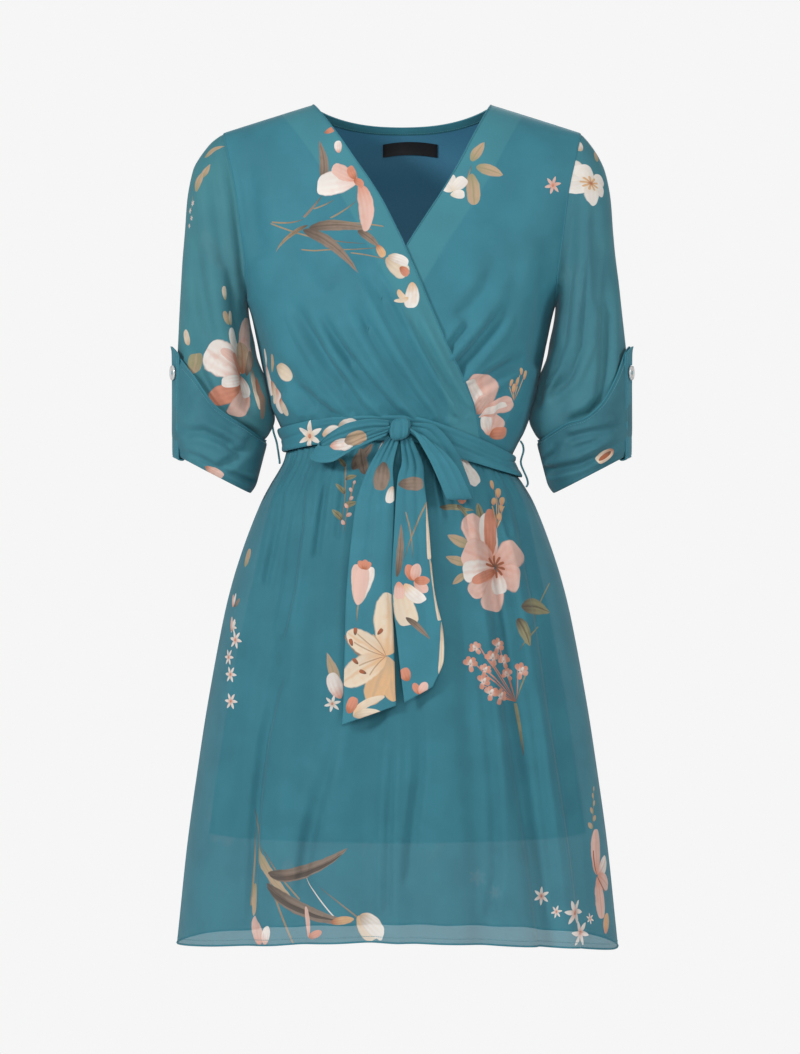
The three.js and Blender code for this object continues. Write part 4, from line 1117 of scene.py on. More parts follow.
back = Cloth(back_surface, 120, 100, (0, 1, 0), flat=body_flat("back")).lift(SKIN)
draw_flat(back, magnolia(0.9), -88, -150, -20)
draw_flat(back, branch(86, 0.2, 4), -60, -178, 80)
draw_flat(back, blade(78, 0.35, 7), -104, -186, 130)
draw_flat(back, lily(0.8), 96, -252, 30)
draw_flat(back, blade(70, -0.3, 6), 78, -232, -70)
draw_flat(back, sprig(66, 0.2, 6), 40, -120, 20)
draw_flat(back, star(10), 88, -110, 10)
draw_flat(back, star(8), 104, -126, 50)
draw_flat(back, bud(24), 10, -300, -30)
draw_flat(back, rose(26), -92, -312, 40)
draw_flat(back, leaf(30), -64, -318, 70)
printed(back, "back")


def back_inside(low, high, from_u, to_u):
    """Part of the back's own surface, from u to u and from v to v."""
    return lambda u, v: back_surface(mix(from_u, to_u, u), mix(low, high, v))


lining_material, lining_tree, lining_shader = new_material("lining_plain")
grain = node(lining_tree, "ShaderNodeTexCoord", None, (), 3)
fine = node(lining_tree, "ShaderNodeTexNoise", None, {"Vector": grain, "Scale": 800, "Detail": 2})
soft = node(lining_tree, "ShaderNodeTexNoise", None, {"Vector": grain, "Scale": 9, "Detail": 2})
lining_colour = mixed(lining_tree, soft.ramp(0.3, 0.7), linear("3a7c9c"), linear("3d82a3"))
lining_colour = mixed(lining_tree, fine.ramp(0.3, 0.7) * 0.08, lining_colour, (0.01, 0.05, 0.09))
plug(lining_tree, lining_shader.inputs["Base Color"], lining_colour)
plug(lining_tree, lining_shader.inputs["Roughness"], fine * 0.2 + 0.55)
lining_bump = node(lining_tree, "ShaderNodeBump", None, {"Strength": 0.3, "Distance": 0.00015, "Height": fine})
plug(lining_tree, lining_shader.inputs["Normal"], lining_bump)
lining_shader.inputs["Sheen Weight"].default_value = 0.08

back_lining = Cloth(back_inside(0, 0.985, 0.02, 0.98), 100, 90, (0, -1, 0), flat=body_flat("back")).lift(0.8)
make_cloth(back_lining, "back_lining", lining_material)
BINDING = {"low": 0.925, "high": 1.0}
reach_low, reach_high = (1 - NECK_REACH) / 2, (1 + NECK_REACH) / 2
binding = Cloth(
    back_inside(BINDING["low"], BINDING["high"], reach_low, reach_high), 90, 8, (0, -1, 0), flat=body_flat("back")
)
rounded = 1.1 + 0.7 * np.sin(np.pi * binding.v) ** 0.5
binding.lift(rounded)
make_cloth(binding, "neck_binding_edge", plain_chiffon)

# %% The label


def label_surface(u, v):
    """A slightly arched strip that lies on the lining, in the middle of the back."""
    x = LABEL["x"] + LABEL["halfX"] * (2 * u - 1)
    z = LABEL["z"] + LABEL["halfZ"] * (2 * v - 1) - LABEL["arch"] * (2 * u - 1) ** 2
    return on_body("back", x, z)


satin, satin_tree, satin_shader = new_material("label_satin")
satin_place = node(satin_tree, "ShaderNodeTexCoord", None, (), 3)
satin_x = node(satin_tree, "ShaderNodeSeparateXYZ", None, (satin_place,), 2)
satin_lines = (satin_x * (math.tau / 0.0009)).call("SINE") * 0.5 + 0.5
plug(satin_tree, satin_shader.inputs["Base Color"], mixed(satin_tree, satin_lines, (0.006, 0.006, 0.008), (0.014, 0.014, 0.018)))
plug(satin_tree, satin_shader.inputs["Roughness"], satin_lines * 0.1 + 0.32)
satin_shader.inputs["Sheen Weight"].default_value = 0.1
label = Cloth(label_surface, 48, 12, (0, -1, 0)).lift(2.0)
label.lift(0.5 * smooth(label.u / 0.06) * smooth((1 - label.u) / 0.06))
make_cloth(label, "label_blank", satin)

# %% [markdown]
# ## Sleeves
# Each sleeve is a tube from the armhole to the turned-up cuff. Its rings are tilted, as a sleeve
# on a hanging arm is: short under the arm and long outside. The chiffon is a single layer here, so
# it is a little see-through, and it falls in soft folds that run down from the shoulder and swing
# towards the body above the cuff.

# %% Sleeve tubes
SLEEVE = columns(
    "outX outZ inX inZ depth",
    (203, -37, 166.5, -218, 47),
    (213, -48, 164.6, -226, 49),
    (222, -67, 161.8, -238, 51),
    (228.5, -96, 158.6, -252, 52.5),
    (231.5, -134, 155.2, -270, 53.5),
    (234.5, -174, 147.2, -290, 54),
    (237, -214, 141.6, -312, 54.5),
    (238.5, -246, 136.5, -334, 54.5),
    (239.4, -268, 142.5, -350, 54),
    (239.4, -290, 151.5, -362, 53.5),
    (239.2, -318, 157, -382, 53),
    (239.2, -345, 161.5, -398, 52),
    (239.4, -368.5, 164.8, -410.5, 51.6),
)
SLEEVE_RINGS = len(SLEEVE["outX"])
SLEEVE_EASE = 3
SLEEVE_START = {"shoulder": 0.5, "armpit": 1.2}
SLIM = {"left": 6.5, "right": 0}
SLIM_RINGS = (5, 9)
SLEEVE_FOLDS = columns(
    "turn first last half depth", (62, 4, 9, 15, 4), (118, 2, 9, 15, 7), (-64, 4, 9, 15, 4), (-116, 2, 9, 15, 6)
)
CUFF_TOP = {"outX": 242, "outZ": -262, "inX": 147, "inZ": -356, "depth": 57}
CUFF_BOTTOM = {"outX": 241, "outZ": -370, "inX": 163, "inZ": -412, "depth": 53.5}
# Folds of the sleeves, as for the fronts
SLEEVE_LINES = {
    "right": [
        (6, 4.0, [(226, 130), (233, 180), (240, 230), (250, 296)]),
        (7, 3.4, [(205, 140), (216, 200), (224, 270)]),
        (6, 3.0, [(192, 220), (200, 290), (214, 344)]),
        (5, 5.0, [(192, 338), (200, 372), (216, 402), (240, 424), (262, 438)]),
        (7, 4.0, [(246, 290), (243, 350), (250, 410)]),
        (4, 3.0, [(252, 300), (256, 350), (258, 400)]),
    ],
    "left": [
        (6, 5.0, [(553, 290), (548, 340), (541, 380), (535, 410)]),
        (5, 6.5, [(590, 240), (585, 310), (582, 345), (569, 375), (545, 398)]),
        (5, 6.0, [(606, 240), (606, 310), (604, 372), (600, 400), (588, 414), (560, 424)]),
        (8, 4.0, [(572, 140), (570, 210), (566, 280)]),
        (6, 3.6, [(592, 190), (596, 250), (596, 310)]),
        (4, 4.0, [(561, 330), (556, 366), (544, 390)]),
    ],
}


def ring_point(ring, sign, turn):
    """A point of a tilted ring: turn 0 is its outer point and a right angle its front."""
    middle_x, reach_x = (ring["outX"] + ring["inX"]) / 2, (ring["outX"] - ring["inX"]) / 2
    middle_z, reach_z = (ring["outZ"] + ring["inZ"]) / 2, (ring["outZ"] - ring["inZ"]) / 2
    x = sign * (middle_x + reach_x * np.cos(turn))
    return across(x, -ring["depth"] * np.sin(turn), middle_z + reach_z * np.cos(turn))


def armhole_point(sign, turn):
    level = mix(ARMPIT_Z, SHOULDER_TIP["z"], (1 + np.cos(turn)) / 2)
    angle = side_angle(np.maximum(level, ARMPIT_Z + 0.01), sign)
    in_front = (np.sin(turn) > 0)[..., None]
    return np.where(in_front, body_point("front", angle, level), body_point("back", angle, level))


def sleeve_surface(side, sign):
    def surface(u, v):
        turn = math.tau * u
        order = v * SLEEVE_RINGS
        ring = section(SLEEVE, np.clip((order - 1) / (SLEEVE_RINGS - 1), 0, 1))
        slim = SLIM[side] * (1 - smooth((order - SLIM_RINGS[0]) / (SLIM_RINGS[1] - SLIM_RINGS[0])))
        ring["outX"] = ring["outX"] - slim * smooth(order / 2)
        degrees = (u * 360 + 180) % 360 - 180
        own = ring_point(ring, sign, turn)
        fold = np.zeros(u.shape)
        for i in range(len(SLEEVE_FOLDS["turn"])):
            row = {key: column[i] for key, column in SLEEVE_FOLDS.items()}
            length = smooth((order - row["first"]) / 2) * smooth((row["last"] + 1 - order) / 2)
            shape = bell((degrees - row["turn"]) / row["half"])
            fold = np.maximum(fold, row["depth"] * length * shape)
        inward = across(-sign * np.cos(turn), np.sin(turn), 0)
        own = own + inward * fold[..., None]
        armhole = armhole_point(sign, turn)
        start = mix(SLEEVE_START["shoulder"], SLEEVE_START["armpit"], smooth((1 - np.cos(turn)) / 2))
        armhole[..., 0] += sign * start
        share = (smooth(order / SLEEVE_EASE) + np.clip(order / SLEEVE_EASE, 0, 1)) / 2
        return mix(armhole, own, share[..., None])

    return surface


def tube_flat(sign):
    """Flat place on a sleeve: distance round it from its front, and height."""

    def flat(cloth):
        steps = np.hypot(np.diff(cloth.points[..., 0], axis=1), np.diff(cloth.points[..., 1], axis=1))
        along = np.concatenate([np.zeros((len(steps), 1)), np.cumsum(steps, axis=1)], axis=1)
        front = along[:, (cloth.u.shape[1] - 1) // 4, None]
        return -sign * (along - front), cloth.points[..., 2]

    return flat


def sleeve_cloth(side, sign):
    cloth = Cloth(sleeve_surface(side, sign), 96, 110, (-sign, 0, 0), tube=True, flat=tube_flat(sign))
    settled = smooth(cloth.v * SLEEVE_RINGS / 2)
    return cloth.lift(0.6 * settled - trough(cloth, SLEEVE_LINES[side]) * settled)


sleeves = {"right": sleeve_cloth("right", -1), "left": sleeve_cloth("left", 1)}
right, left = sleeves["right"], sleeves["left"]
draw(right, leaf(18, 0.2, SAND, OLIVE), 204, 158, 40)
draw(right, leaf(16, 0.2, SAND, OLIVE), 202, 176, -10)
draw(right, leaf(22, 0.1, SAND, OLIVE), 197, 192, -6)
draw(right, vine(4, 8, 3.6), 190, 226, 2)
draw(right, drop(15, CREAM, OLIVE, 0.2), 224, 300, -8)
draw(right, drop(15, SAND, OLIVE, 0.24), 228, 325, -16)
draw(right, drop(16, CREAM, OLIVE, 0.2), 231, 325, 6)
draw(right, side_magnolia(), 240, 374)
draw(right, drop(18, CREAM, SAND, 0.3), 190, 345, -25)
draw(right, petals((0, 0, 0, 22, 8, OLIVE, SAND, 0, 0.2, 0.6)), 193, 373, -6)
draw(right, petals((0, 0, 0, 44, 8, CREAM, PEACH, -0.12, 0.5), (4, 4, 2, 34, 2.5, CORAL, RUST, -0.12, 0.5)), 187, 424, 8)
draw_flat(right, lily(0.8), 130, -170, 40)
draw_flat(right, branch(80, 0.2, 4), 112, -300, 10)
draw_flat(right, rose(24), 150, -330, 0)
draw(left, petals((0, 0, 0, 20, 6, WHITE, SAND, 0, 0.3)), 580, 152, 10)
draw(left, petals((0, 0, 0, 26, 8, WHITE, SAND, 0, 0.3)), 583, 178, -14)
draw(left, open_flower(22, WHITE, CREAM), 592, 182, 6)
draw(left, leaf(18, 0.1, SAND, OLIVE), 596, 160, 40)
draw_flat(left, magnolia(0.8), -120, -210, 20)
draw_flat(left, blade(70, 0.3, 6), -104, -190, 60)
draw_flat(left, sprig(60, 0.1, 6), -140, -360, 0)
# The left sleeve's cloth is given darker colours than the right one's: painted shade on one side of the same cloth.
printed(right, "sleeve_cloth_right", alpha=0.92, colour="448690", shade="3f7f8b")
printed(left, "sleeve_cloth_left", alpha=0.92, colour="40808c", shade="3b7987")

# %% [markdown]
# ## Cuffs, tabs and buttons
# The end of the sleeve is turned up: the cloth comes down inside, folds round at the bottom and
# goes up again outside, so the wrong side of the print shows. A tab sewn inside the sleeve comes
# out round the fold and is buttoned on outside, above the cuff. Its end curls away. The cuff is
# one grid whose rows follow that path, given as a distance off the ring and a level down it.

# %% Cuffs
CUFF_PATH = columns(
    "off level",
    (-1.3, 0.62),
    (-1.5, 0.8),
    (-1.6, 0.95),
    (-1.3, 1.0),
    (0.2, 1.025),
    (1.8, 1.01),
    (2.4, 0.96),
    (2.6, 0.8),
    (2.6, 0.55),
    (2.6, 0.3),
    (2.6, 0.1),
    (1.7, 0.0),
)
# Level of the turned-up edge by the turn from the outer line to the front, in degrees
CUFF_EDGE = {
    "right": columns("turn level", (-180, 0.02), (-60, 0.12), (0, 0), (57, 0.05), (90, 0.17), (137, 0.08), (180, 0.02)),
    "left": columns("turn level", (-180, 0.02), (-60, 0.14), (0, -0.02), (30, -0.04), (52, 0.14), (72, 0.27), (95, 0.28), (120, 0.14), (180, 0.02)),
}
CUFF_FULL = 2.6
CUFF_LINES = {
    "right": [
        (4, 6.0, [(176, 424), (190, 432), (204, 431), (224, 440), (242, 456)]),
        (4, 5.0, [(256, 430), (244, 448), (228, 462), (214, 470)]),
        (3, 5.0, [(172, 448), (200, 458), (226, 472), (256, 482)]),
        (6, 3.0, [(200, 396), (214, 414), (236, 432)]),
    ],
    "left": [
        (3.6, 5.0, [(628, 424), (600, 430), (566, 438)]),
        (4, 6.5, [(630, 438), (606, 450), (580, 464), (556, 469), (532, 471)]),
        (4, 3.6, [(612, 428), (592, 442), (574, 448)]),
        (3, 4.0, [(560, 440), (556, 452), (544, 462)]),
    ],
}


def cuff_ring(level):
    return {key: mix(CUFF_TOP[key], CUFF_BOTTOM[key], level) for key in CUFF_TOP}


def on_cuff(sign, turn, level, off):
    """A point off the cuff's inner face, and the way out there."""
    step = 0.01
    point = ring_point(cuff_ring(level), sign, turn)
    along = ring_point(cuff_ring(level), sign, turn + step) - point
    down = ring_point(cuff_ring(level + step), sign, turn) - point
    normal = np.cross(along, down)
    normal /= np.linalg.norm(normal, axis=-1, keepdims=True)
    middle = (CUFF_TOP["outX"] + CUFF_TOP["inX"]) / 2 * sign
    away = (normal[..., 0] * (point[..., 0] - middle) + normal[..., 1] * point[..., 1]) < 0
    normal = np.where(away[..., None], -normal, normal)
    return point + normal * np.asarray(off)[..., None], normal


def cuff_cloth(side, sign):
    def surface(u, v):
        row = section(CUFF_PATH, v)
        degrees = (u * 360 + 180) % 360 - 180
        top = read(CUFF_EDGE[side], "level", degrees, "turn")
        outside = smooth((v - 0.45) / 0.1)
        level = mix(row["level"], mix(top, 1, row["level"]), outside)
        return on_cuff(sign, math.tau * u, level, row["off"])[0]

    cloth = Cloth(surface, 96, 66, (sign, 0, 0), tube=True, flat=tube_flat(sign))
    if (cloth.normals[40, 0] @ np.array((sign, 0, 0))) < 0:
        cloth.flip = not cloth.flip
        cloth.measure()
    outer = smooth((cloth.v - 0.5) / 0.15) * smooth((1 - cloth.v) / 0.08)
    return cloth.lift(CUFF_FULL * outer * (0.5 + 0.5 * np.sin(np.pi * cloth.v) ** 2) - trough(cloth, CUFF_LINES[side]) * outer)


cuffs = {"right": cuff_cloth("right", -1), "left": cuff_cloth("left", 1)}
draw_flat(cuffs["right"], drop(44, BLUSH, CORAL, 0.3), 96, -392, 100)
draw_flat(cuffs["right"], magnolia(0.7), 146, -372, 60)
draw_flat(cuffs["left"], magnolia(0.8), -120, -384, 60)
draw_flat(cuffs["left"], drop(44, CREAM, RUST, 0.3), -150, -360, 80)
for px, py in ((186, 457), (204, 466), (222, 475), (240, 484)):
    draw(cuffs["right"], petals((0, 0, 0, 22, 4.5, BLUSH, RUST, 0, 0.3)), px, py, 118)
for px, py in ((612, 449), (596, 459), (580, 470), (564, 480)):
    draw(cuffs["left"], petals((0, 0, 0, 24, 5, CREAM, RUST, 0, 0.3), (0, 4, 0, 18, 2, RUST, BARK)), px, py, -124)
# The left cuff's cloth is given darker colours than the right one's: painted shade on one side of the same cloth.
printed(cuffs["right"], "cuff_cloth_right", colour="417f8c", shade="36707e")
printed(cuffs["left"], "cuff_cloth_left", colour="3b7582", shade="316673")

# %% Tabs and buttons
TAB = {"turn": 24, "half": 12.5, "round": 0.93}
TAB_PATH = columns(
    "off level",
    (-3.8, 0.95),
    (-3.8, 1.01),
    (-2, 1.045),
    (1.8, 1.045),
    (3.9, 1.01),
    (3.9, 0.75),
    (3.9, 0.45),
    (3.9, 0.15),
    (4.0, 0.02),
    (4.6, -0.03),
    (5.6, -0.06),
)
BUTTON = {"level": 0.19, "seat": 5.2}
# Half of the button's section: distance from its middle and height
BUTTON_SECTION = columns(
    "radius height", (0, 0), (7.4, 0), (8, 0.7), (8, 1.7), (7.4, 2.4), (6.6, 2.6), (5.9, 2.2), (5.3, 1.6), (3.4, 1.5), (0, 1.5)
)
BUTTON_HOLES = {"off": 1.5, "radius": 0.55}


def tab_cloth(sign):
    wide = TAB["half"] * 2 / (CUFF_TOP["depth"] + CUFF_BOTTOM["depth"])

    def surface(u, v):
        row = section(TAB_PATH, v)
        rounding = np.sqrt(1 - np.clip((v - TAB["round"]) / (1 - TAB["round"]), 0, 0.985) ** 2)
        turn = math.radians(TAB["turn"]) + wide * (2 * u - 1) * rounding
        return on_cuff(sign, turn, row["level"], row["off"])[0]

    return Cloth(surface, 14, 110, (sign, 0, 0))


def solid_rim(piece, thickness):
    """Gives a sheet its two faces and its edge."""
    solidify = piece.modifiers.new("thickness", "SOLIDIFY")
    solidify.thickness = thickness * MM
    solidify.offset = 0
    return piece


pearl, pearl_tree, pearl_shader = new_material("button_pearl")
pearl_place = node(pearl_tree, "ShaderNodeTexCoord", None, (), 3)
cloudy = node(pearl_tree, "ShaderNodeTexNoise", None, {"Vector": pearl_place, "Scale": 160, "Detail": 3, "Distortion": 1.2})
plug(pearl_tree, pearl_shader.inputs["Base Color"], mixed(pearl_tree, cloudy.ramp(0.35, 0.65), (0.72, 0.73, 0.74), (0.86, 0.83, 0.8)))
plug(pearl_tree, pearl_shader.inputs["Roughness"], cloudy * 0.15 + 0.12)
pearl_shader.inputs["Metallic"].default_value = 0.25
pearl_shader.inputs["Coat Weight"].default_value = 0.6

tabs = {"right": tab_cloth(-1), "left": tab_cloth(1)}


def button_mesh(name, sign):
    """A turned disc with a rim, a dished middle and four holes crossed by thread."""
    around, spokes = 40, len(BUTTON_SECTION["radius"])
    centre, normal = on_cuff(sign, np.array(math.radians(TAB["turn"])), BUTTON["level"], BUTTON["seat"])
    level_way = np.cross(normal, (0, 0, 1.0))
    level_way /= np.linalg.norm(level_way)
    upward = np.cross(level_way, normal)
    points, faces = [], []
    for radius, height in zip(BUTTON_SECTION["radius"], BUTTON_SECTION["height"]):
        turns = np.arange(around if radius else 1) * math.tau / around
        for turn in turns:
            flat = level_way * math.cos(turn) * radius + upward * math.sin(turn) * radius
            points.append(centre + flat + normal * height)
    ring = lambda k, i: 1 + (k - 1) * around + i % around
    last = len(points) - 1
    for i in range(around):
        faces.append((0, ring(1, i + 1), ring(1, i)))
        for k in range(1, spokes - 2):
            faces.append((ring(k, i), ring(k, i + 1), ring(k + 1, i + 1), ring(k + 1, i)))
        faces.append((last, ring(spokes - 2, i), ring(spokes - 2, i + 1)))
    mesh = bpy.data.meshes.new(name)
    mesh.from_pydata(metres(points).tolist(), [], faces)
    mesh.shade_smooth()
    mesh.materials.append(pearl)
    piece = bpy.data.objects.new(name, mesh)
    scene.collection.objects.link(piece)
    pieces[name] = piece
    return centre, normal, level_way, upward


button_frames = {}
for side, sign in (("right", -1), ("left", 1)):
    solid_rim(printed(tabs[side], f"tab_cloth_{side}"), 1.4)
    button_frames[side] = button_mesh(f"button_{side}", sign)

# %% [markdown]
# ## Skirt and lining
# The skirt is gathered into the waist, so it starts with many small uneven pleats that die out
# within a hand's breadth. Below them it falls in a few long folds that widen towards the hem. It is a
# single sheer layer. A plain lining hangs inside it and ends above the hem, which leaves a paler
# see-through band at the bottom.

# %% Skirt
SKIRT_FOLDS = {
    "front": columns(
        "waist mid hem half depth",
        (-94, -146, -166, 24, 13),
        (-62, -88, -104, 17, 9),
        (-22, -30, -30, 18, 13),
        (8, 14, 20, 14, 6),
        (44, 80, 92, 17, 9),
        (74, 124, 162, 15, 16),
        (104, 170, 205, 17, 13),
    ),
    "back": columns(
        "waist mid hem half depth",
        (-94, -146, -172, 20, 13),
        (-62, -96, -118, 17, 10),
        (-30, -48, -62, 19, 14),
        (0, -2, 0, 16, 9),
        (30, 46, 58, 19, 14),
        (62, 94, 114, 17, 10),
        (94, 146, 170, 20, 13),
    ),
}
FOLD_LEVELS = {"waist": -372, "mid": -640, "hem": -895}
FOLD_GROWTH = 150
HEM = columns(
    "turn z",
    (-180, -894),
    (-120, -893),
    (-90, -894),
    (-45, -884),
    (-15, -876),
    (15, -877),
    (50, -887),
    (75, -896),
    (90, -897),
    (130, -893),
    (180, -894),
)
WAIST_GAP = 0.8
SKIRT_WIDENING = 1.25
GATHERS = {"front": 34, "back": 30}
GATHER = {"depth": (1.6, 4.0), "length": (30, 85), "half": (2.0, 3.6)}
LINING_INSET = {"top": 5, "low": 21, "below": 5}
pleats = np.random.default_rng(5)


def gather_table(side):
    """Small pleats with uneven places, depths and lengths."""
    count = GATHERS[side]
    angles = (np.arange(count) + 0.5 + pleats.uniform(-0.28, 0.28, count)) / count
    rows = zip(
        (angles * 2 - 1) * RIGHT_ANGLE * 0.97,
        pleats.uniform(*GATHER["depth"], count),
        pleats.uniform(*GATHER["length"], count),
        pleats.uniform(*GATHER["half"], count),
    )
    return columns("angle depth length half", *rows)


GATHER_ROWS = {side: gather_table(side) for side in ("front", "back")}


def fold_place(fold, i, z):
    """Angle of a fold at each height."""
    at = {}
    for level, height in FOLD_LEVELS.items():
        at[level] = math.asin(np.clip(fold[level][i] / read(BODY, "half", height), -1, 1))
    low = smooth_free((z - FOLD_LEVELS["mid"]) / (FOLD_LEVELS["hem"] - FOLD_LEVELS["mid"]))
    high = smooth_free((z - FOLD_LEVELS["waist"]) / (FOLD_LEVELS["mid"] - FOLD_LEVELS["waist"]))
    return np.where(z < FOLD_LEVELS["mid"], mix(at["mid"], at["hem"], low), mix(at["waist"], at["mid"], high))


def smooth_free(t):
    return np.clip(t, 0, 1)


def skirt_shape(side, angle, z):
    round_body = (read(BODY, "half", z) + read(BODY, side, z)) / 2
    growth = smooth((FOLD_LEVELS["waist"] - z) / FOLD_GROWTH)
    fold = SKIRT_FOLDS[side]
    deepest = np.zeros(angle.shape)
    for i in range(len(fold["half"])):
        distance = (angle - fold_place(fold, i, z)) * round_body
        shape = bell(distance / (fold["half"][i] * mix(0.6, 1, growth)))
        deepest = np.maximum(deepest, fold["depth"][i] * growth * shape)
    gathers = GATHER_ROWS[side]
    small = np.zeros(angle.shape)
    below = WAIST_SEAM_MIDDLE - z
    for i in range(len(gathers["angle"])):
        distance = (angle - gathers["angle"][i]) * round_body
        wide = gathers["half"][i] * (1 + below / 60)
        depth = gathers["depth"][i] * bell(below / gathers["length"][i])
        small = np.maximum(small, depth * bell(distance / wide))
    seam = smooth((RIGHT_ANGLE - np.abs(angle)) / 0.16)
    return -seam * (deepest + small)


WAIST_SEAM_MIDDLE = float(read(WAIST_SEAM["front"], "z", 0, "share"))


def hem_z(side, angle):
    degrees = np.degrees(angle)
    turn = degrees if side == "front" else np.where(degrees < 0, -1, 1) * (180 - np.abs(degrees))
    return read(HEM, "z", turn, "turn")


def skirt_surface(side):
    def surface(u, v):
        angle = mix(-RIGHT_ANGLE, RIGHT_ANGLE, u)
        z = mix(waist_z(side, angle) - WAIST_GAP, hem_z(side, angle), v**SKIRT_WIDENING)
        return body_point(side, angle, z) + outward(side, angle) * skirt_shape(side, angle, z)[..., None]

    return surface


SKIRT_LINES = [
    (4, 4.0, [(300, 640), (276, 690), (264, 740), (257, 800), (253, 870), (251, 930)]),
    (8, 3.0, [(262, 560), (246, 660), (232, 770), (222, 860)]),
    (4, 4.4, [(398, 690), (393, 740), (389, 800), (387, 860), (386, 920)]),
    (5, 4.0, [(419, 690), (419, 772), (411, 836), (406, 890)]),
    (6, 4.0, [(344, 700), (326, 770), (308, 840), (300, 890)]),
    (4.5, 4.6, [(474, 462), (488, 498), (504, 560), (516, 628), (524, 690)]),
    (4, 3.6, [(520, 640), (534, 720), (544, 800), (553, 870), (558, 930)]),
    (5, 4.0, [(470, 600), (486, 700), (494, 790), (497, 870), (488, 930)]),
    (3.4, 3.4, [(303, 462), (300, 520), (292, 585), (280, 640)]),
    (3.4, 3.4, [(327, 456), (322, 505), (315, 560)]),
    (3, 2.8, [(343, 450), (342, 490), (336, 540)]),
    (3, 3.0, [(456, 452), (462, 490), (471, 540)]),
    (3, 2.8, [(436, 446), (440, 480), (448, 520)]),
    (3, 2.8, [(492, 470), (500, 500), (510, 540)]),
    (3.4, 3.0, [(284, 470), (278, 520), (264, 590)]),
    (7, 3.0, [(560, 640), (574, 740), (584, 850), (588, 930)]),
]
skirts = {}
for side, out in (("front", (0, -1, 0)), ("back", (0, 1, 0))):
    skirts[side] = Cloth(skirt_surface(side), 220, 120, out, flat=body_flat(side)).lift(SKIN)
skirts["front"].lift(-trough(skirts["front"], SKIRT_LINES) * smooth((1 - np.abs(2 * skirts["front"].u - 1)) / 0.1))


def lining_surface(u, v):
    turn = u % 1
    half_turn = np.where(turn < 0.5, turn * 2, 2 - turn * 2)
    angle = mix(-RIGHT_ANGLE, RIGHT_ANGLE, half_turn)
    parts = []
    for side in ("front", "back"):
        z = mix(waist_z(side, angle) - LINING_INSET["below"], LINING_HEM_Z, v**SKIRT_WIDENING)
        inset = mix(LINING_INSET["top"], LINING_INSET["low"], smooth((FOLD_LEVELS["waist"] - z) / FOLD_GROWTH))
        parts.append(body_point(side, angle, z) - outward(side, angle) * inset[..., None])
    return np.where((turn < 0.5)[..., None], parts[0], parts[1])


skirt_lining = Cloth(lining_surface, 160, 60, (0, 1, 0), tube=True).lift(0.5)
make_cloth(skirt_lining, "lining_skirt", chiffon("lining_shell", colour="3b7b8b", shade="33707f"))

# %% Print of the skirt
front, behind = skirts["front"], skirts["back"]
draw(front, branch(70, -0.1, 5, 15), 341, 530, 10)
draw(front, leaf(32, 0.1, TAUPE, BARK), 352, 470, 24)
draw(front, leaf(30, -0.1, TAUPE, BARK), 366, 474, -14)
draw(front, sprig(56, 0.1, 6, BLUSH, CORAL, 6), 344, 534, 6)
draw(front, drop(28, WHITE, CORAL, 0.3), 388, 436, 175)
draw(front, petals(
    (0, 0, 0, 26, 11, CORAL, RUST, 0, 0.3),
    (2, 0, 150, 44, 9, WHITE, SAND, -0.1, 0.3),
    (10, 2, 142, 50, 9, WHITE, SAND, -0.05, 0.25),
    (20, -30, 168, 26, 7, CORAL, RUST, 0.1, 0.35),
    (26, -24, 176, 20, 6, BLUSH, CORAL, 0, 0.3),
), 444, 450)
draw(front, blade(38, 0.2, 3.4, OLIVE, BARK), 440, 508, 84)
draw(front, blade(18, 0.2, 3, OLIVE, BARK), 458, 504, 120)
draw(front, stem(20, 0.2, 0.8), 460, 505, 135)
draw(front, leaf(26, 0.1, SAND, OLIVE), 468, 543, -72)
draw(front, leaf(24, 0.1, SAND, OLIVE), 466, 562, -80)
draw(front, leaf(18, -0.1, SAND, OLIVE), 466, 572, -120)
draw(front, leaf(20, -0.1, OLIVE, BARK), 481, 522, -8)
draw(front, magnolia(), 495, 564)
draw(front, spray(((-4, 24), (4, 32), (6, 16), (-4, 40), (8, 24), (2, 8)), 9, lambda size: drop(size, PEACH, CORAL, 0.36), PEACH), 498, 528)
draw(front, stem(34, 0.3, 1.0, OLIVE, BARK), 520, 650, 30)
draw(front, stem(52, 0.25, 0.9, OLIVE, BARK), 533, 626, 22)
draw(front, leaf(42, 0.3, OLIVE, BARK), 520, 606, 82)
draw(front, leaf(32, 0.2, OLIVE, BARK), 518, 618, 142)
draw(front, stem(56, -0.06, 2.2, OLIVE, BARK), 523, 756, -6)
draw(front, stem(34, 0.1, 1.0, OLIVE, BARK), 517, 702, 18)
draw(front, spray(
    ((-46, 56), (-22, 58), (-52, 40), (-28, 46), (-38, 22), (-10, 28), (6, 32), (-30, 10), (-20, 6), (-36, 34), (-14, 42)), 8
), 516, 702)
for px, py, size in ((236, 641, 10), (229, 657, 9), (230, 675, 9), (230, 700, 9), (233, 625, 7)):
    draw(front, star(size), px, py, px % 50)
draw(front, petals((0, 0, -20, 14, 3, BLUSH, CORAL), (0, 0, 14, 15, 3, WHITE, CORAL), (4, 0, 50, 14, 3, TAUPE, BARK)), 233, 606)
draw(front, petals((0, 0, -12, 16, 3, BLUSH, CORAL), (0, 0, 20, 14, 3, WHITE, RUST)), 231, 630)
draw(front, drop(20, SAND, OLIVE, 0.3), 245, 566, 10)
draw(front, blade(40, -0.1, 6, SAND, OLIVE), 338, 690, -12)
draw(front, drop(28, WHITE, CORAL, 0.3), 342, 700, -24)
draw(front, star(9, WHITE, SAND), 332, 704, 10)
draw(front, stem(60, -0.22, 1.0), 256, 806, 176)
draw(front, stem(86, 0.02, 0.9), 257, 822, 182)
draw(front, stem(124, -0.1, 1.1), 259, 826, 166)
draw(front, stem(66, -0.12, 1.0), 262, 846, 148)
draw(front, stem(66, 0.05, 0.8), 318, 886, 126)
draw(front, stem(58, -0.1, 0.7, WHITE, SAND), 301, 872, 148)
draw(front, petals(
    (0, 0, 160, 62, 5.5, SAND, OLIVE, -0.32, 0.7, 0.4),
), 259, 846)
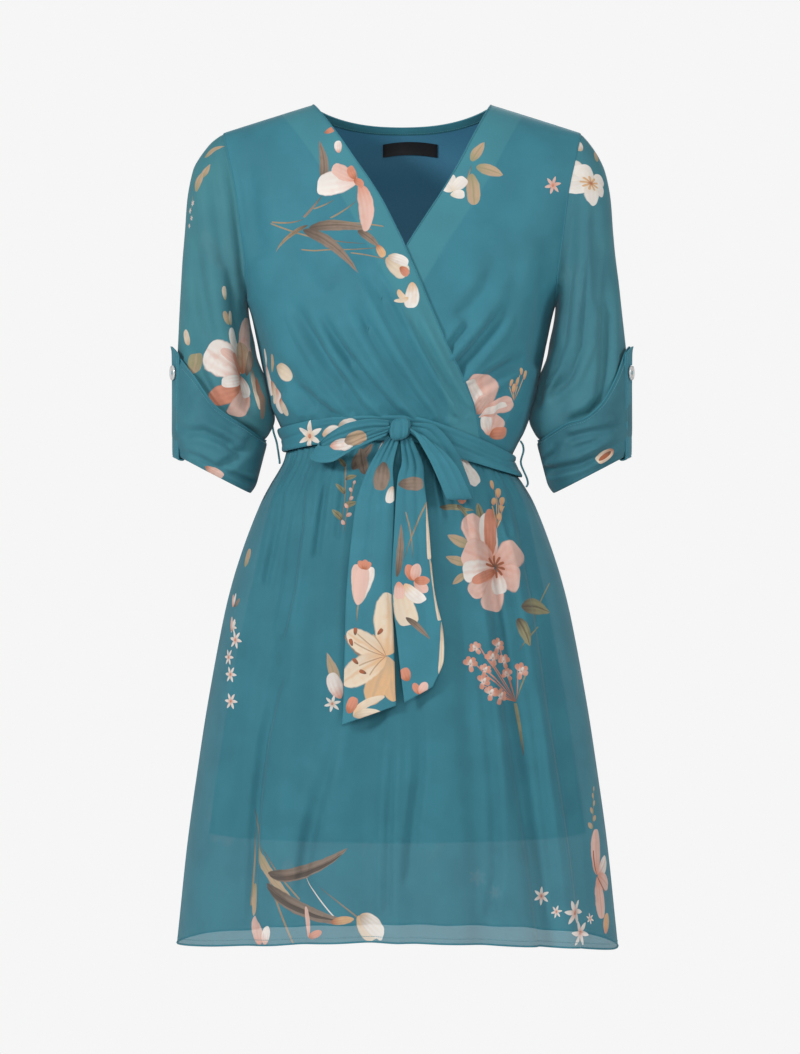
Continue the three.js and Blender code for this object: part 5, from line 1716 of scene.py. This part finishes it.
draw(front, petals((0, 0, 105, 76, 8.5, TAUPE, BARK, -0.64, 0.6, 0.6), (2, -3, 105, 70, 3, BARK, BARK, -0.64, 0.6)), 268, 874)
draw(front, petals((0, 0, 137, 90, 8.5, TAUPE, BARK, -0.46, 0.6, 0.6), (0, -4, 137, 74, 3, BARK, BARK, -0.46, 0.6)), 266, 884)
draw(front, petals((0, 0, 176, 34, 4, SAND, OLIVE, 0.1, 0.6)), 256, 880)
draw(front, petals((0, 0, 0, 30, 7, BLUSH, CORAL, -0.1, 0.6), (6, 0, 14, 20, 5, WHITE, CORAL, 0.1, 0.5)), 260, 946, -10)
draw(front, petals((0, 0, 0, 32, 2.6, BLUSH, CORAL, -0.1, 0.4), (0, 0, 60, 16, 4, CORAL, RUST)), 308, 940)
draw(front, petals((0, 0, 80, 24, 4.5, PEACH, RUST, 0.05, 0.6)), 330, 922)
draw(front, petals(
    (0, 0, 150, 30, 9, CREAM, PEACH, -0.1, 0.26),
    (2, 0, 108, 30, 9, WHITE, PEACH, 0.4, 0.26),
    (2, 0, 126, 30, 9, WHITE, SAND, 0.05, 0.24),
), 358, 914)
for px, py, size in ((542, 894, 10), (557, 911, 7), (575, 912, 14), (580, 932, 14), (590, 918, 6)):
    draw(front, star(size), px, py, px % 60)
draw(front, petals(
    (0, 0, 0, 48, 9, BLUSH, CORAL, 0.05, 0.35, 0.4),
    (2, 0, 176, 46, 9, BLUSH, CORAL, -0.05, 0.35, 0.4),
    (2, 0, 60, 30, 9, WHITE, CORAL, 0, 0.4, 0.4),
    (2, 0, 118, 30, 9, BLUSH, CORAL, 0, 0.4, 0.4),
    (0, 0, -20, 26, 1, RUST, BARK, 0.2, 0.2),
    (0, 0, 150, 24, 1, RUST, BARK, -0.2, 0.2),
), 596, 874)
draw(front, sprig(50, 0.1, 6, SAND, OLIVE, 8), 592, 836, 4)
draw(front, drop(22, PEACH, CORAL, 0.34), 606, 936, 10)
for s, t, turn, motif in (
    (-150, -520, 20, magnolia()),
    (-118, -560, 70, branch(80, 0.2, 4)),
    (-60, -700, 0, lily(0.9)),
    (-44, -740, 160, blade(80, 0.3, 6)),
    (70, -500, -20, rose(30, BLUSH, CORAL)),
    (96, -520, 40, leaf(30)),
    (150, -640, 10, magnolia()),
    (120, -700, 180, sprig(76, 0.1, 7)),
    (-190, -760, 30, lily(0.9, BLUSH, CORAL)),
    (20, -600, 10, vine(5, 15, 7)),
    (200, -800, 0, branch(90, 0.15, 5)),
    (-20, -820, -30, blade(96, 0.3, 6)),
    (30, -830, 40, blade(86, -0.3, 5)),
    (90, -840, 0, star(11)),
    (110, -856, 30, star(9)),
    (-120, -850, -10, bud(30)),
    (-180, -610, 0, sprig(60, 0.1, 6)),
):
    draw_flat(behind, motif, s, t, turn)
SHEER = 0.86
printed(front, "skirt_cloth_front", alpha=SHEER)
printed(behind, "skirt_cloth_back", alpha=SHEER)

# %% [markdown]
# ## Sash and bow
# The sash is one strip, folded double, that goes round the waist and is tied in front. It follows
# the waist as a band with a few lengthwise pleats. The knot and the bow are short tables of
# sections: where the middle of the strip is seen, how far it stands off the body, and the vector
# to its edge. The strip is pinched where it comes out of the knot, so it is cupped there.

# %% Sash band
SASH_LINE = {
    "front": columns(
        "share z", (-1, -357), (-0.6, -348), (-0.08, -346), (0.12, -348), (0.5, -364), (1, -386)
    ),
    "back": columns("share z", (-1, -357), (0, -370), (1, -386)),
}
SASH = {"half": 13.5, "lift": 4.6, "thick": 2.0}
SASH_PLEATS = columns("level wave turn depth", (-0.35, 2, 0.4, 1.1), (0.3, 3, 2.2, 1.0), (0.68, 2, 4.0, 0.7))
KNOT = {"x": -2, "z": -348.5, "lift": 16, "halfX": 10.5, "halfY": 8, "halfZ": 11.5}


def sash_surface(u, v):
    turn = math.tau * u
    angle = np.arcsin(np.clip(np.sin(turn), -1, 1))
    parts = []
    for side in ("front", "back"):
        level = read(SASH_LINE[side], "z", np.sin(turn), "share")
        parts.append(body_point(side, angle, level + SASH["half"] * (2 * v - 1)))
    return np.where((np.cos(turn) > 0)[..., None], parts[0], parts[1])


def sash_flat(cloth):
    steps = np.hypot(np.diff(cloth.points[..., 0], axis=1), np.diff(cloth.points[..., 1], axis=1))
    along = np.concatenate([np.zeros((len(steps), 1)), np.cumsum(steps, axis=1)], axis=1)
    return np.where(along > along[:, -1:] / 2, along - along[:, -1:], along), cloth.points[..., 2]


sash = Cloth(sash_surface, 260, 26, (0, 1, 0), tube=True, flat=sash_flat)
edge_roll = np.sqrt(1 - np.clip(np.abs(2 * sash.v - 1), 0, 1) ** 8)
pleated = np.zeros(sash.u.shape)
for i in range(len(SASH_PLEATS["level"])):
    row = {key: column[i] for key, column in SASH_PLEATS.items()}
    place = row["level"] + 0.16 * np.sin(row["wave"] * math.tau * sash.u + row["turn"])
    strength = 0.55 + 0.45 * np.sin(2 * math.tau * sash.u + row["turn"] * 2)
    pleated = np.maximum(pleated, row["depth"] * strength * bell((2 * sash.v - 1 - place) / 0.14))
sash.lift(SASH["lift"] + SASH["thick"] * edge_roll - pleated)
draw(sash, star(17, WHITE, PEACH), 309, 436, 0)
draw(sash, drop(24, WHITE, PEACH, 0.4), 322, 434, 84)
draw(sash, drop(22, WHITE, SAND, 0.36), 338, 427, 80)
draw_flat(sash, branch(70, 0.1, 4, 14), 300, -366, 88)
printed(sash, "sash_band")

# %% Knot and bow
BOW = {
    "bow_loop_right": columns(
        "x z lift edgeX edgeZ",
        (-11.8, -346, 13, 0, 6),
        (-32, -347, 10, 1, 9),
        (-54, -352, 11, 2, 10),
        (-72, -361, 13, 4, 9),
        (-80, -369, 17, 4, 7),
        (-73, -374, 22, 4, 8),
        (-55, -372, 26, 5, 10),
        (-35, -361, 26, 7, 9),
        (-11.5, -350, 20, 2, 5),
    ),
    "bow_loop_left": columns(
        "x z lift edgeX edgeZ",
        (8.4, -347, 13, -1, -5),
        (24, -353, 11, -8, -8),
        (37, -371, 12, -12, -5),
        (47, -393, 12, -12, -3),
        (54, -412, 13, -12, 0),
        (52, -421, 19, -12, 0),
        (44, -407, 26, -12, 2),
        (33, -382, 27, -12, 4),
        (21, -361, 25, -9, 5),
        (8.4, -350, 20, -2, 3),
    ),
    "sash_tail_right": columns(
        "x z lift edgeX edgeZ",
        (-8, -357.7, 15, -5, 2.6),
        (-20, -386, 11, -11, 1),
        (-25, -412, 7, -17, 0),
        (-28, -436, 5, -20, 0),
        (-33, -513, 4, -23, 0),
        (-33, -576, 4, -25, -3),
        (-33, -622, 5, -26, -7),
        (-33, -643, 6, -27, -10),
    ),
    "sash_tail_left": columns(
        "x z lift edgeX edgeZ",
        (3.6, -358.6, 16, 5, 1.5),
        (9, -384, 12, 10, 0),
        (8, -402, 11, 13, 0),
        (9, -453, 9, 17, 0),
        (10.5, -515, 8, 21, 0),
        (17, -556, 7, 23, 2),
        (20, -590, 7, 22, 6),
        (16, -622, 8, 14, 8),
    ),
}
# Lengthwise pleats of each strip: place across it, half width, depth, and how far they run
STRIP_PLEATS = {
    "bow_loop_right": columns("place half depth last", (-0.35, 0.16, 1.3, 1), (0.3, 0.18, 1.1, 1)),
    "bow_loop_left": columns("place half depth last", (-0.3, 0.16, 1.4, 1), (0.42, 0.16, 1.1, 1)),
    "sash_tail_right": columns("place half depth last", (-0.45, 0.2, 1.8, 0.5), (0.15, 0.16, 2.0, 0.75), (0.62, 0.14, 1.2, 0.4)),
    "sash_tail_left": columns("place half depth last", (-0.3, 0.2, 1.8, 0.6), (0.4, 0.18, 1.6, 0.9)),
}


def strip_cloth(name):
    table, pleat = BOW[name], STRIP_PLEATS[name]

    def surface(u, v):
        row = section(table, v)
        over = 2 * u - 1
        return on_body("front", row["x"] + row["edgeX"] * over, row["z"] + row["edgeZ"] * over, row["lift"])

    cloth = Cloth(surface, 24, 130, (0, -1, 0))
    over = 2 * cloth.u - 1
    shape = np.zeros(cloth.u.shape)
    for i in range(len(pleat["place"])):
        run = 1 - smooth((cloth.v - pleat["last"][i] * 0.6) / (pleat["last"][i] * 0.4 + 0.01))
        if pleat["last"][i] == 1:
            run = 0.45 + 0.55 * np.cos(math.pi * cloth.v) ** 2
        shape = np.maximum(shape, pleat["depth"][i] * run * bell((over - pleat["place"][i]) / pleat["half"][i]))
    return cloth.lift(-shape + 0.35 * np.sin(cloth.v * 19 + over * 2))


strips = {name: strip_cloth(name) for name in BOW}
tail = strips["sash_tail_right"]
draw(tail, stem(20, 0.1, 0.8), 357, 622, -2)
draw(tail, bud(46), 358, 604, 10)
draw(tail, blade(44, 0.1, 5, TAUPE, BARK), 374, 664, -52)
draw(tail, lily(0.98), 386, 656)
draw(tail, petals(
    (0, 0, 0, 34, 5, CREAM, PEACH, 0.5, 0.4),
    (0, 0, 40, 30, 6, CREAM, SAND, 0.3, 0.4),
    (-6, 0, -8, 18, 6, CORAL, RUST, 0, 0.35),
), 354, 716, 30)
draw(tail, drop(30, TAUPE, BARK, 0.3), 384, 462, 186)
draw(tail, drop(18, WHITE, SAND, 0.3), 392, 486, 190)
tail = strips["sash_tail_left"]
draw(tail, drop(26, TAUPE, BARK, 0.3, 0.3), 398, 484, 86)
draw(tail, blade(56, -0.1, 4, TAUPE, BARK), 396, 578, 10)
draw(tail, stem(66, 0.1, 0.9), 404, 560, 16)
draw(tail, stem(50, -0.2, 0.8), 412, 560, 4)
draw(tail, petals((0, 0, -20, 18, 6, CORAL, RUST), (0, 0, 16, 18, 6, BLUSH, CORAL)), 414, 580, -4)
draw(tail, petals((0, 0, 130, 18, 6, BLUSH, CORAL), (0, 0, 90, 16, 5, CORAL, RUST)), 414, 580, 0)
draw(tail, petals(
    (0, 0, 168, 44, 12, CREAM, PEACH, -0.05, 0.24),
    (6, 0, 150, 26, 8, WHITE, PEACH, -0.3, 0.3),
    (0, 2, 176, 18, 6, BLUSH, CORAL, 0, 0.35),
), 398, 584)
draw(tail, blade(34, 0.15, 3.4, TAUPE, BARK), 406, 616, 124)
draw(tail, drop(14, CORAL, RUST, 0.44), 408, 680, -26)
draw(tail, petals((0, 0, -30, 13, 4, CORAL, RUST), (0, 0, 30, 14, 5, BLUSH, CORAL)), 419, 694, 0)
draw(tail, petals((0, 0, 176, 60, 2.4, CREAM, SAND, 0.02, 0.15, 0.5)), 428, 500)
draw(tail, petals((0, 0, 170, 66, 2.6, CREAM, SAND, 0.02, 0.15, 0.5)), 430, 556)
draw(tail, petals((0, 0, 176, 54, 2.6, CREAM, SAND, 0.1, 0.2, 0.5)), 441, 620)
draw(strips["bow_loop_right"], drop(24, WHITE, CORAL, 0.3), 330, 446, 80)
draw(strips["bow_loop_right"], drop(24, SAND, TAUPE, 0.34), 344, 440, 70)
for name, cloth in strips.items():
    solid_rim(printed(cloth, f"{name}_cloth"), 1.0)


def knot_surface(u, v):
    """The sash wrapped over itself: a flattened ball with the ridges of the pulled cloth."""
    turn, rise = math.tau * u, math.pi * (v - 0.5)
    ridge = 1 + 0.06 * np.cos(7 * turn + 1.2) * np.cos(rise) + 0.035 * np.cos(15 * turn)
    waist = 1 - 0.1 * bell((v - 0.5) / 0.08) * (np.cos(turn) < 0)
    power = 0.75
    radial = np.cos(rise) ** power * ridge * waist
    x = KNOT["halfX"] * radial * np.sign(np.sin(turn)) * np.abs(np.sin(turn)) ** power
    y = -KNOT["halfY"] * radial * np.sign(np.cos(turn)) * np.abs(np.cos(turn)) ** power
    z = KNOT["halfZ"] * np.sign(rise) * np.abs(np.sin(rise)) ** power
    middle = on_body("front", np.array(KNOT["x"]), np.array(KNOT["z"]), KNOT["lift"])
    return middle + across(x, y, z + 0.18 * x)


knot = Cloth(lambda u, v: knot_surface(u, mix(0.012, 0.988, v)), 84, 50, (0, 1, 0), tube=True)
printed(knot, "sash_knot_cloth")

# %% [markdown]
# ## Sewing
# Hems, seams and stitches all follow an edge of a sheet. They are made with two small Geometry
# Nodes trees. One turns a line into a thin roll of cloth, for rolled hems and seams. The other
# lays short threads along a line at even steps, for machine stitching. Each result is baked to a
# plain mesh and its modifier is removed.

# %% Geometry Nodes trees
ROLL_SIDES = 6
THREAD_SIDES = 4


def new_tree(name, inputs):
    """An empty tree with a geometry input, named sizes and a material."""
    tree = bpy.data.node_groups.new(name, "GeometryNodeTree")
    tree.interface.new_socket("Geometry", in_out="INPUT", socket_type="NodeSocketGeometry")
    for label in inputs:
        tree.interface.new_socket(label, in_out="INPUT", socket_type="NodeSocketFloat")
    tree.interface.new_socket("Material", in_out="INPUT", socket_type="NodeSocketMaterial")
    tree.interface.new_socket("Geometry", in_out="OUTPUT", socket_type="NodeSocketGeometry")
    return tree, tree.nodes.new("NodeGroupInput"), tree.nodes.new("NodeGroupOutput")


def join(tree, kind, links, settings=None, values=None):
    """Adds a node to a tree and links sockets to its named inputs."""
    made = tree.nodes.new(kind)
    for key, value in (settings or {}).items():
        setattr(made, key, value)
    for key, value in (values or {}).items():
        made.inputs[key].default_value = value
    for key, socket in links.items():
        tree.links.new(socket, made.inputs[key])
    return made


def close_tree(tree, shape, given, result):
    """Realizes the shape, smooths it and gives it its material."""
    real = join(tree, "GeometryNodeRealizeInstances", {"Geometry": shape})
    soft_shade = join(tree, "GeometryNodeSetShadeSmooth", {"Geometry": real.outputs[0]})
    coloured = join(tree, "GeometryNodeSetMaterial", {"Geometry": soft_shade.outputs[0], "Material": given.outputs["Material"]})
    tree.links.new(coloured.outputs[0], result.inputs["Geometry"])
    return tree


def roll_tree():
    tree, given, result = new_tree("rolled_edge", ["Radius"])
    line = join(tree, "GeometryNodeMeshToCurve", {"Mesh": given.outputs["Geometry"]})
    ring = join(tree, "GeometryNodeCurvePrimitiveCircle", {"Radius": given.outputs["Radius"]}, None, {"Resolution": ROLL_SIDES})
    links = {"Curve": line.outputs[0], "Profile Curve": ring.outputs[0]}
    roll = join(tree, "GeometryNodeCurveToMesh", links, None, {"Fill Caps": True})
    return close_tree(tree, roll.outputs[0], given, result)


def stitch_tree():
    tree, given, result = new_tree("stitches", ["Spacing", "Length", "Radius"])
    line = join(tree, "GeometryNodeMeshToCurve", {"Mesh": given.outputs["Geometry"]})
    even = join(tree, "GeometryNodeResampleCurve", {"Curve": line.outputs[0]}, {"mode": "LENGTH"})
    tree.links.new(given.outputs["Spacing"], even.inputs["Length"])
    tangent = tree.nodes.new("GeometryNodeInputTangent")
    turned = join(tree, "FunctionNodeAlignRotationToVector", {"Vector": tangent.outputs[0]}, {"axis": "Z"})
    thread = join(tree, "GeometryNodeMeshCone", {"Radius Top": given.outputs["Radius"], "Radius Bottom": given.outputs["Radius"], "Depth": given.outputs["Length"]}, {"fill_type": "NGON"}, {"Vertices": THREAD_SIDES})
    links = {"Points": even.outputs[0], "Instance": thread.outputs[0], "Rotation": turned.outputs[0]}
    laid = join(tree, "GeometryNodeInstanceOnPoints", links)
    return close_tree(tree, laid.outputs[0], given, result)


ROLL, STITCH = roll_tree(), stitch_tree()


def grown(name, tree, lines, sizes, material):
    """Runs a tree along lines, given in the tables' millimetres, and keeps the plain mesh."""
    points, edges = [], []
    for line in lines:
        start = len(points)
        points += metres(line).tolist()
        edges += [(start + i, start + i + 1) for i in range(len(line) - 1)]
    mesh = bpy.data.meshes.new(name)
    mesh.from_pydata(points, edges, [])
    maker = bpy.data.objects.new(name, mesh)
    scene.collection.objects.link(maker)
    modifier = maker.modifiers.new("grow", "NODES")
    modifier.node_group = tree
    identifiers = {item.name: item.identifier for item in tree.interface.items_tree if item.in_out == "INPUT"}
    for label, value in sizes.items():
        modifier[identifiers[label]] = value * MM
    modifier[identifiers["Material"]] = material
    bpy.context.view_layer.update()
    evaluated = maker.evaluated_get(bpy.context.evaluated_depsgraph_get())
    made = bpy.data.meshes.new_from_object(evaluated)
    maker.modifiers.remove(modifier)
    maker.data = made
    pieces[name] = maker
    print(name, "faces:", len(made.polygons))
    return maker


def edge_line(cloth, edge, inset=0, off=0.0):
    """A line along one edge of a sheet, some rows or columns in and a little off its surface."""
    lifted = cloth.points + cloth.normals * off
    picks = {
        "start": lifted[inset],
        "end": lifted[-1 - inset],
        "first": lifted[:, inset],
        "last": lifted[:, -1 - inset],
    }
    return picks[edge]


# %% Hems, seams and stitches
hem_rolls = {
    "hem_roll_front": ([edge_line(skirts["front"], "end")], 1.0),
    "hem_roll_back": ([edge_line(skirts["back"], "end")], 1.0),
    "neck_edge_right": ([edge_line(right_front, "last")], 0.8),
    "neck_edge_left": ([edge_line(left_front, "last")], 0.8),
    "lining_hem_roll": ([edge_line(skirt_lining, "end")], 0.8),
    "shoulder_seams": ([edge_line(right_front, "end"), edge_line(left_front, "end")], 0.7),
    "armhole_seams": ([edge_line(sleeves["right"], "start"), edge_line(sleeves["left"], "start")], 1.0),
    "side_seams": (
        [edge_line(right_front, "first"), edge_line(left_front, "first")]
        + [edge_line(skirts["front"], "first"), edge_line(skirts["front"], "last")],
        0.5,
    ),
    "cuff_edges": ([edge_line(cuffs["right"], "end"), edge_line(cuffs["left"], "end")], 0.9),
    "binding_edge": ([edge_line(binding, "end")], 0.9),
}
for name, (lines, radius) in hem_rolls.items():
    grown(name, ROLL, lines, {"Radius": radius}, plain_chiffon)

thread_material, thread_tree, thread_shader = new_material("sewing_thread")
thread_place = node(thread_tree, "ShaderNodeTexCoord", None, (), 3)
thread_noise = node(thread_tree, "ShaderNodeTexNoise", None, {"Vector": thread_place, "Scale": 700, "Detail": 1})
plug(thread_tree, thread_shader.inputs["Base Color"], mixed(thread_tree, thread_noise.ramp(0.3, 0.7), linear("4f98a6"), linear("68adb9")))
thread_shader.inputs["Roughness"].default_value = 0.6
stitch_rows = {
    "stitches_hem": [edge_line(skirts["front"], "end", 1, 0.3), edge_line(skirts["back"], "end", 1, 0.3)],
    "stitches_tabs": [edge_line(tabs[side], edge, 2, 0.9) for side in tabs for edge in ("first", "last")],
    "stitches_cuffs": [edge_line(cuffs[side], "end", 4, 0.35) for side in cuffs],
    "stitches_binding": [edge_line(binding, "start", 1, 0.4)],
}
for name, lines in stitch_rows.items():
    grown(name, STITCH, lines, {"Spacing": 2.6, "Length": 1.9, "Radius": 0.22}, thread_material)

# %% Thread loops and button thread
CARRIERS = {
    "right": (-1, columns("off z", (2.7, -326), (7, -333), (9.5, -342), (11.5, -352), (11.5, -363), (9, -372), (6, -379), (4.8, -382))),
    "left": (1, columns("off z", (2.8, -358), (8, -363), (12, -371), (12, -384), (11, -395), (7.5, -403), (3.4, -407))),
}
STRAND = {"radius": 0.62, "off": 0.6, "turns": 16}


def carrier_line(sign, route, phase):
    """One of the strands of a worked thread loop, twisted round its route."""
    t = np.linspace(0, 1, 120)
    row = section(route, t)
    x = sign * (read(BODY, "half", row["z"]) + sign * read(BODY, "shift", row["z"]) + row["off"])
    twist = STRAND["turns"] * math.tau * t + phase
    return across(x + STRAND["off"] * np.cos(twist), STRAND["off"] * np.sin(twist), row["z"])


for side, (sign, route) in CARRIERS.items():
    strands = [carrier_line(sign, route, phase) for phase in (0, math.tau / 3, math.tau * 2 / 3)]
    grown(f"thread_loop_{side}", ROLL, strands, {"Radius": STRAND["radius"]}, thread_material)
for side, (centre, normal, level_way, upward) in button_frames.items():
    off = BUTTON_HOLES["off"]
    base = centre + normal * 1.7
    holes = [base + level_way * a * off + upward * b * off for a, b in ((-1, -1), (1, 1), (-1, 1), (1, -1))]
    crossed = [np.linspace(holes[0], holes[1], 6), np.linspace(holes[2], holes[3], 6)]
    grown(f"button_thread_{side}", ROLL, crossed, {"Radius": 0.4}, thread_material)

# %% [markdown]
# ## Putting it together
# Every sheet stands for its solid, and says how large it was cut. The flat size is measured on
# the sheet itself, since chiffon doesn't stretch: its longest row, its longest column and its
# area.

# %% Riding, replacing and measuring
STANDS_FOR = {
    "front_right": "bodice_front_right",
    "front_left": "bodice_front_left",
    "back": "bodice_back",
    "back_lining": "bodice_back_lining",
    "neck_binding_edge": "neck_binding",
    "label_blank": "back_neck_label",
    "sleeve_cloth_right": "sleeve_right",
    "sleeve_cloth_left": "sleeve_left",
    "cuff_cloth_right": "cuff_right",
    "cuff_cloth_left": "cuff_left",
    "tab_cloth_right": "tab_right",
    "tab_cloth_left": "tab_left",
    "button_right": "tab_button_right",
    "button_left": "tab_button_left",
    "skirt_cloth_front": "skirt_front",
    "skirt_cloth_back": "skirt_back",
    "lining_skirt": "skirt_lining",
    "sash_band": "sash",
    "sash_knot_cloth": "sash_knot",
    "bow_loop_right_cloth": "bow_loop_right",
    "bow_loop_left_cloth": "bow_loop_left",
    "sash_tail_right_cloth": "sash_tail_right",
    "sash_tail_left_cloth": "sash_tail_left",
    "thread_loop_right": "sash_carrier_right",
    "thread_loop_left": "sash_carrier_left",
}
SHEETS = {
    "front_right": (right_front, "hung", ["neck_edge_right"]),
    "front_left": (left_front, "hung", ["neck_edge_left"]),
    "back": (back, "hung", ["shoulder_seams", "side_seams"]),
    "back_lining": (back_lining, "hung", []),
    "neck_binding_edge": (binding, "hung", ["binding_edge", "stitches_binding"]),
    "label_blank": (label, "laid", []),
    "sleeve_cloth_right": (sleeves["right"], "hung", ["armhole_seams"]),
    "sleeve_cloth_left": (sleeves["left"], "hung", []),
    "cuff_cloth_right": (cuffs["right"], "folded", ["cuff_edges", "stitches_cuffs"]),
    "cuff_cloth_left": (cuffs["left"], "folded", []),
    "tab_cloth_right": (tabs["right"], "folded", ["stitches_tabs"]),
    "tab_cloth_left": (tabs["left"], "folded", []),
    "skirt_cloth_front": (skirts["front"], "gathered", ["hem_roll_front", "stitches_hem"]),
    "skirt_cloth_back": (skirts["back"], "gathered", ["hem_roll_back"]),
    "lining_skirt": (skirt_lining, "hung", ["lining_hem_roll"]),
    "sash_band": (sash, "folded", ["sash_knot_cloth"]),
    **{f"{name}_cloth": (cloth, "folded", []) for name, cloth in strips.items()},
}


def cut_of(cloth):
    """Longest row, longest column and area of a sheet, in metres."""
    wide = np.linalg.norm(np.diff(cloth.points, axis=1), axis=-1)
    long = np.linalg.norm(np.diff(cloth.points, axis=0), axis=-1)
    p = cloth.points
    first = np.cross(p[:-1, 1:] - p[:-1, :-1], p[1:, :-1] - p[:-1, :-1])
    second = np.cross(p[:-1, 1:] - p[1:, 1:], p[1:, :-1] - p[1:, 1:])
    area = (np.linalg.norm(first, axis=-1) + np.linalg.norm(second, axis=-1)).sum() / 2
    return wide.sum(axis=1).max() * MM, long.sum(axis=0).max() * MM, area * MM * MM


for name, piece in pieces.items():
    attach(piece, "root")
for name, cad_node in STANDS_FOR.items():
    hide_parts(cad_node)
for name, (cloth, held_as, trims) in SHEETS.items():
    width, length, area = cut_of(cloth)
    area = min(max(area, 0.3 * width * length), width * length)
    [pieces[trim] for trim in trims]
    print(f"{name}: {width:.3f} x {length:.3f} m, {area:.4f} square metres")
